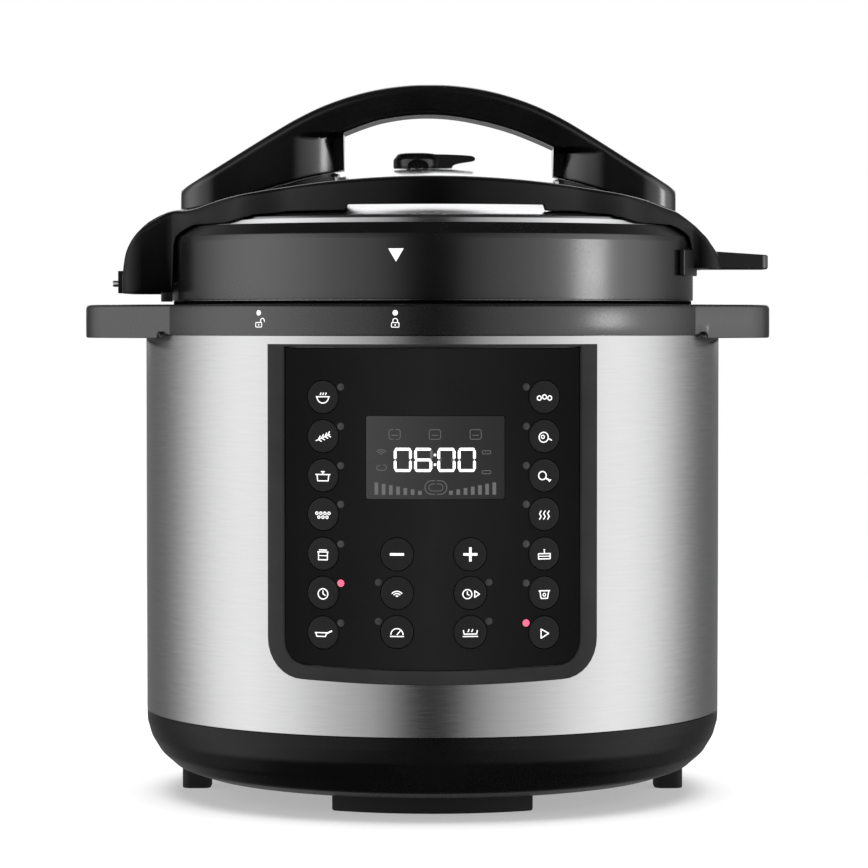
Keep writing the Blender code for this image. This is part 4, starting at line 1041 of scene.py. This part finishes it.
GRIP = [(-124.4, 295.4), (-120.9, 297.9), (-116.5, 300.5), (-105, 307.5), (-92, 315.6), (-80, 323.0), (-67, 330.6), (-54, 336.9), (-40, 341.9), (-26, 345.3), (-12, 347.1), (-1.2, 347.4)]
GRIP += [(-x - 2.4 - 1.7 * (x / 124.4) ** 2, z) for x, z in reversed(GRIP[:-1])]
UNDER = [(-46, 322.4), (-43.6, 323.4), (-35, 326.8), (-25, 329.9), (-12, 332.0), (0, 332.4), (12, 331.4), (25, 328.9), (38, 325.3), (50, 320.7), (59.4, 316.5), (62, 315.2)]
X0, X1, WL, WR = -124.4, 120.3, -43.6, 59.4


def pillar_half(x):
    """Half thickness of the pillars: full in the middle, curving back to a thin web at the finger gap."""
    for sign, edge in ((-1, WL), (1, WR)):
        d = (edge - x) if sign < 0 else (x - edge)
        if -0.01 <= d <= 27.0:
            if d < 3.2:
                return 8.0
            if d < 5.2:
                return 6.2
            return 18.0 - 29.0 * (1.0 - math.sqrt(1.0 - ((27.0 - d) / 29.0) ** 2))
    return 18.0


def handle_bm():
    xs = []
    xs += [X0 + 17.5 * (1 - math.cos(math.radians(a))) for a in range(0, 91, 6)]
    x = X0 + 20
    while x < WL - 28.5:
        xs.append(x)
        x += 3.0
    xs += [WL - d for d in (27.0, 25, 23, 21, 19, 17, 15, 13, 11.5, 10, 8.5, 7, 6.0, 5.3, 5.21, 5.19, 4.2, 3.22, 3.18, 1.6, 0.8, 0.3, 0.0)]
    gap = [WL + 0.001 + (WR - WL - 0.002) * (0.5 - 0.5 * math.cos(math.pi * k / 44)) for k in range(45)]
    right = [WR + d for d in (0.0, 0.3, 0.8, 1.6, 3.18, 3.22, 4.2, 5.19, 5.21, 5.3, 6.0, 7, 8.5, 10, 11.5, 13, 15, 17, 19, 21, 23, 25, 27.0)]
    x = WR + 30.0
    while x < X1 - 19:
        right.append(x)
        x += 3.0
    right += [X1 - 17.5 * (1 - math.cos(math.radians(a))) for a in range(90, -1, -6)]
    stations = [(x, "pillar") for x in xs] + [(x, "gap") for x in gap] + [(x, "pillar") for x in right]
    loops = []
    rows = 30
    for x, kind in stations:
        zt = catmull(GRIP, x)
        d_end = min(x - X0, X1 - x)
        w_end = 18.0 if d_end >= 17.5 else 2.6 + 15.4 / 17.5 * math.sqrt(max(0.0, 17.5 ** 2 - (17.5 - d_end) ** 2))
        if kind == "pillar":
            zb = cover_top(x, 0) + 0.45
            lip = catmull(UNDER, max(min(x, 62), -46)) - 0.4
            if x < WL - 27.0 or x > WR + 27.0:
                lip = None
        else:
            zb = catmull(UNDER, x)
            lip = None
        half = []
        crown = 0.55
        r_top = 4.2
        r_bot = 3.6 if kind == "gap" else 0.5
        r_top = min(r_top, w_end - 0.5, (zt - zb) * 0.4)
        half.append((0.0, zb))
        half.append((max(w_end * 0.5, 0.1), zb))
        wb = min(w_end, pillar_half(x)) if kind == "pillar" else w_end
        half[1] = (wb * 0.5, zb)
        for k in range(5):
            a = math.radians(90 * k / 4)
            half.append((wb - r_bot + r_bot * math.sin(a), zb + r_bot - r_bot * math.cos(a)))
        z_lo, z_hi = zb + r_bot, zt - r_top
        for k in range(1, rows):
            z = z_lo + (z_hi - z_lo) * k / rows
            if lip is not None:
                # under the grip the pillar is thin, and the grip's lip rolls out over it
                f = smoothstep(lip - 0.1, lip + 2.2, z)
                w = wb + (w_end - wb) * math.sqrt(f)
            else:
                w = w_end
            half.append((w, z))
        for k in range(7):
            a = math.radians(90 * k / 6)
            half.append((w_end - r_top + r_top * math.cos(a), zt - r_top + r_top * math.sin(a) + crown * (1 - math.cos(a)) * 0.2))
        half.append(((w_end - r_top) * 0.5, zt + crown * 0.75))
        half.append((0.0, zt + crown))
        loop = [(x, -y, z) for y, z in half] + [(x, y, z) for y, z in reversed(half[1:-1])]
        loops.append(loop)
    bm = bmesh.new()
    rings = [[bm.verts.new(p) for p in loop] for loop in loops]
    m = len(rings[0])
    for a, b in zip(rings, rings[1:]):
        for k in range(m):
            bm.faces.new((a[k], b[k], b[(k + 1) % m], a[(k + 1) % m]))
    bm.faces.new(rings[0])
    bm.faces.new(list(reversed(rings[-1])))
    return bm


piece("arch_grip", handle_bm(), M["handle"], "lid", ["lid_handle"], sharp=42)

# ------------------------------------------------------------------ fin and pin
root_in = 129.4
fin_plan = [(math.sqrt(root_in ** 2 - y * y), y) for y in (30, 24, 18, 12, 6, 0, -6, -12, -18, -24, -30)]
fin_plan += [(134.5, -30), (135.6, -15), (163.0, -13.5), (165.3, -11.2), (165.3, 11.2), (163.0, 13.5), (135.6, 15), (134.5, 30)]
fin_bm = prism(fin_plan, 257.0, 266.5)
for v in fin_bm.verts:
    if v.co.z > 258:
        v.co.z -= 0.066 * (v.co.x - 128)
fin = piece("parking_fin", fin_bm, M["fin"], "lid", ["rest_fin"])
bevel(fin, 0.9, 3, 40)

pin_bm = lathe_bm([(0, -158.5), (1.3, -158.5, 0.3), (1.6, -158.0), (1.6, -148.6), (3.4, -148.6, 0.2), (3.4, -147.0, 0.2), (1.6, -147.0), (1.6, -134, 0.3), (0, -134)], 32)
bmesh.ops.transform(pin_bm, matrix=Matrix.Translation((0, 0, 250.0)) @ Matrix.Rotation(math.radians(90), 4, "Y"), verts=pin_bm.verts)
piece("locking_pin", pin_bm, M["pin"], "pin", ["lock_pin"])
plate_bm = prism(rrect(-8, 8, 245.2, 256.3, 1.2), -155.2, -151.0, "x")
plate = piece("pin_guide_plate", plate_bm, M["fin"], "lid")
carve(plate, prism(circle(2.1, 0, 250.0, 24), -160, -140, "x"))
bevel(plate, 0.6, 3, 45)
tab = piece("ear_tab", prism(rrect(-132.1, -126.6, -34.0, -30.6, 0.6, 3), 240.9, 246.0), M["fin"], "lid")
bevel(tab, 0.35, 2, 45)
clip = piece("ring_clip", arc_block(129.2, 131.8, 253.4, 266.0, -17, 6, 10), M["fin"], "lid")
bevel(clip, 0.6, 3, 45)

# ------------------------------------------------------------------ marks on the lid and collar


def mark_polys(name, polys, radius, cx, cz, mat, body):
    """Printed marks that follow a round wall of the given radius."""
    bm = bmesh.new()
    for poly in polys:
        lo, hi = [], []
        for s, z in poly:
            a = (s + cx) / radius
            lo.append(bm.verts.new(((radius - 0.02) * math.sin(a), -(radius - 0.02) * math.cos(a), z + cz)))
            hi.append(bm.verts.new(((radius + 0.07) * math.sin(a), -(radius + 0.07) * math.cos(a), z + cz)))
        bm.faces.new(lo)
        bm.faces.new(list(reversed(hi)))
        for k in range(len(lo)):
            j = (k + 1) % len(lo)
            bm.faces.new((lo[k], hi[k], hi[j], lo[j]))
    return piece(name, bm, mat, body, sharp=30)


mark_polys("lid_arrow", [[(-3.6, 3.05), (0, -3.05), (3.6, 3.05)]], 128.8, -16.8, 262.0, M["white"], "lid")
closed_lock = stroke(rrect(-2.4, 2.4, -2.2, 0.7, 0.5, 2), 0.5, True) + stroke([(-1.5, 0.9), (-1.5, 1.9)] + arc(0, 1.9, 1.5, 180, 0, 8) + [(1.5, 0.9)], 0.5) + [circle(0.5, 0, -0.8, 8)]
open_lock = stroke(rrect(-2.4, 2.4, -2.2, 0.7, 0.5, 2), 0.5, True) + stroke([(1.5, 0.9), (1.5, 1.9)] + arc(3.0, 1.9, 1.5, 180, 0, 8) + [(4.5, 1.2)], 0.5) + [circle(0.5, 0, -0.8, 8)]
for name, s, polys in (("closed_mark", -17.0, closed_lock), ("open_mark", -85.5, open_lock)):
    mark_polys(name + "_dot", [circle(1.25, 0, 0, 20)], 142.5, s, 235.4, M["white"], "base")
    mark_polys(name + "_lock", [[(u * 0.72, w * 0.72) for u, w in poly] for poly in polys], 142.5, s, 230.4, M["white"], "base")

# ------------------------------------------------------------------ rear: cup, bracket and inlet
cup = piece("drip_cup", prism(rrect(-30, 30, 145.3, 167, 5), 168, 216), M["cup"], "cup", ["condensate_cup"])
carve(cup, prism(rrect(-28, 28, 147.3, 165, 3.5), 170.2, 225))
bevel(cup, 0.7, 3, 50)
bracket = piece("cup_holder", prism(rrect(-27, 27, 134, 145, 1.0, 3), 172, 214), M["collar"], "base", ["cup_bracket"])
carve(bracket, lathe_bm([(0, 160), (141.9, 160), (141.9, 230), (0, 230)], 160))
bevel(bracket, 0.6, 3, 50)
inlet = piece("mains_inlet", prism(rrect(-15, 15, 16.7, 37.3, 1.2, 4), 112, 138.3, "y"), M["fin"], "base", ["power_inlet"])
carve(inlet, prism(rrect(-12, 12, 19.5, 34.5, 3.0, 5), 122, 145, "y"))
for i, (x, z) in enumerate(((-7, 25), (7, 25), (0, 30))):
    p = piece(f"inlet_contact_{i + 1}", prism(rrect(x - 2, x + 2, z - 1.1, z + 1.1, 0.4, 3), 121.5, 134, "y"), M["pin"], "base")
    bevel(p, 0.3, 2, 40)

# ------------------------------------------------------------------ CAD nodes that stay, with their own finishes
for node, mat in (("power_board", "board"), ("control_board", "board"), ("pressure_switch", "switch"), ("lcd_module", "frame"), ("sensor_spring", "pin")):
    obj = frame["nodes"][node]
    obj.data.materials.clear()
    obj.data.materials.append(M[mat])

# ------------------------------------------------------------------ stage: pale floor, soft studio light
world = bpy.data.worlds.new("studio")
scene.world = world
world.use_nodes = True
nt = world.node_tree
for n in list(nt.nodes):
    nt.nodes.remove(n)
coord = nt.nodes.new("ShaderNodeTexCoord")
sep = nt.nodes.new("ShaderNodeSeparateXYZ")
link(nt, coord.outputs["Generated"], sep.inputs[0])
az = math_node(nt, "ABSOLUTE", math_node(nt, "ARCTAN2", sep.outputs["X"], math_node(nt, "MULTIPLY", sep.outputs["Y"], -1.0)))
az01 = math_node(nt, "DIVIDE", az, math.pi)
ENV = [(0.0, 0.002), (0.038, 0.002), (0.05, 0.03), (0.06, 0.07), (0.075, 0.115), (0.1, 0.19), (0.144, 0.275), (0.2, 0.33), (0.25, 0.39), (0.3, 0.5), (0.36, 0.58), (0.42, 0.65), (0.47, 0.64), (0.52, 0.585), (0.56, 0.5), (0.6, 0.38), (0.64, 0.26), (0.69, 0.14), (0.75, 0.08), (0.82, 0.068), (0.9, 0.09), (1.0, 0.12)]
env = ramp(nt, az01, ENV)
elev = sep.outputs["Z"]
back = math_node(nt, "MULTIPLY", ramp(nt, az01, [(0.0, 0.0), (0.87, 0.0), (0.92, 1.0), (1.0, 1.0)]), ramp(nt, elev, [(0.0, 0.0), (0.015, 0.0), (0.05, 1.0), (0.8, 1.0), (0.86, 0.0)]))
behind = nt.nodes.new("ShaderNodeMix")
behind.data_type = "RGBA"
link(nt, back, behind.inputs["Factor"])
link(nt, env, behind.inputs["A"])
behind.inputs["B"].default_value = (0.75, 0.75, 0.75, 1)
above = ramp(nt, math_node(nt, "ABSOLUTE", elev), [(0.0, 0.0), (0.5, 0.0), (0.78, 1.0), (1.0, 1.0)])
top = math_node(nt, "MULTIPLY", above, math_node(nt, "SUBTRACT", 1.0, back))
mix = nt.nodes.new("ShaderNodeMix")
mix.data_type = "RGBA"
link(nt, top, mix.inputs["Factor"])
link(nt, behind.outputs["Result"], mix.inputs["A"])
mix.inputs["B"].default_value = (0.015, 0.015, 0.015, 1)
lp = nt.nodes.new("ShaderNodeLightPath")
bg_env = nt.nodes.new("ShaderNodeBackground")
bg_env.inputs["Strength"].default_value = 2.1
link(nt, mix.outputs["Result"], bg_env.inputs["Color"])
bg_cam = nt.nodes.new("ShaderNodeBackground")
bg_cam.inputs["Color"].default_value = (1, 1, 1, 1)
ms = nt.nodes.new("ShaderNodeMixShader")
link(nt, lp.outputs["Is Camera Ray"], ms.inputs[0])
link(nt, bg_env.outputs[0], ms.inputs[1])
link(nt, bg_cam.outputs[0], ms.inputs[2])
out = nt.nodes.new("ShaderNodeOutputWorld")
link(nt, ms.outputs[0], out.inputs["Surface"])

bm = bmesh.new()
ring = [bm.verts.new((1.5 * math.cos(2 * math.pi * k / 96), 1.5 * math.sin(2 * math.pi * k / 96), 0)) for k in range(96)]
bm.faces.new(ring)
mesh = bpy.data.meshes.new("floor")
bm.to_mesh(mesh)
bm.free()
floor = bpy.data.objects.new("floor", mesh)
scene.collection.objects.link(floor)
fmat, fnt, fbsdf = node_material("pale_floor")
fbsdf.inputs["Base Color"].default_value = (0.62, 0.62, 0.62, 1)
fbsdf.inputs["Emission Color"].default_value = (1, 1, 1, 1)
fbsdf.inputs["Emission Strength"].default_value = 0.4
fbsdf.inputs["Roughness"].default_value = 0.8
fbsdf.inputs["Specular IOR Level"].default_value = 0.1
fc = fnt.nodes.new("ShaderNodeTexCoord")
ln = fnt.nodes.new("ShaderNodeVectorMath")
ln.operation = "LENGTH"
link(fnt, fc.outputs["Object"], ln.inputs[0])
fade = ramp(fnt, math_node(fnt, "DIVIDE", ln.outputs["Value"], 1.5), [(0.45, 0.0), (0.98, 1.0)])
tr = fnt.nodes.new("ShaderNodeBsdfTransparent")
fm = fnt.nodes.new("ShaderNodeMixShader")
fo = [n for n in fnt.nodes if n.type == "OUTPUT_MATERIAL"][0]
link(fnt, fade, fm.inputs[0])
link(fnt, fbsdf.outputs[0], fm.inputs[1])
link(fnt, tr.outputs[0], fm.inputs[2])
link(fnt, fm.outputs[0], fo.inputs["Surface"])
mesh.materials.append(fmat)
floor.visible_glossy = False


def softbox(name, loc, aim, size, power):
    data = bpy.data.lights.new(name, "AREA")
    data.shape = "RECTANGLE"
    data.size, data.size_y = size
    data.energy = power
    obj = bpy.data.objects.new(name, data)
    scene.collection.objects.link(obj)
    obj.location = loc
    obj.rotation_mode = "QUATERNION"
    obj.rotation_quaternion = (Vector(aim) - Vector(loc)).to_track_quat("-Z", "Y")
    obj.visible_camera = False
    return obj


overhead = softbox("overhead", (0.0, 0.1, 2.4), (0, 0, 0), (2.6, 2.6), 110)
overhead.visible_glossy = False
strip = softbox("strip_right", (1.88, -0.68, 0.26), (0, 0, 0.26), (0.5, 0.6), 5.0)
plastics = bpy.data.collections.new("plastics")
for obj in scene.objects:
    if obj.type == "MESH" and obj.data.materials and obj.data.materials[0] in (M["ring"], M["collar"], M["handle"], M["fin"]):
        plastics.objects.link(obj)
strip.light_linking.receiver_collection = plastics
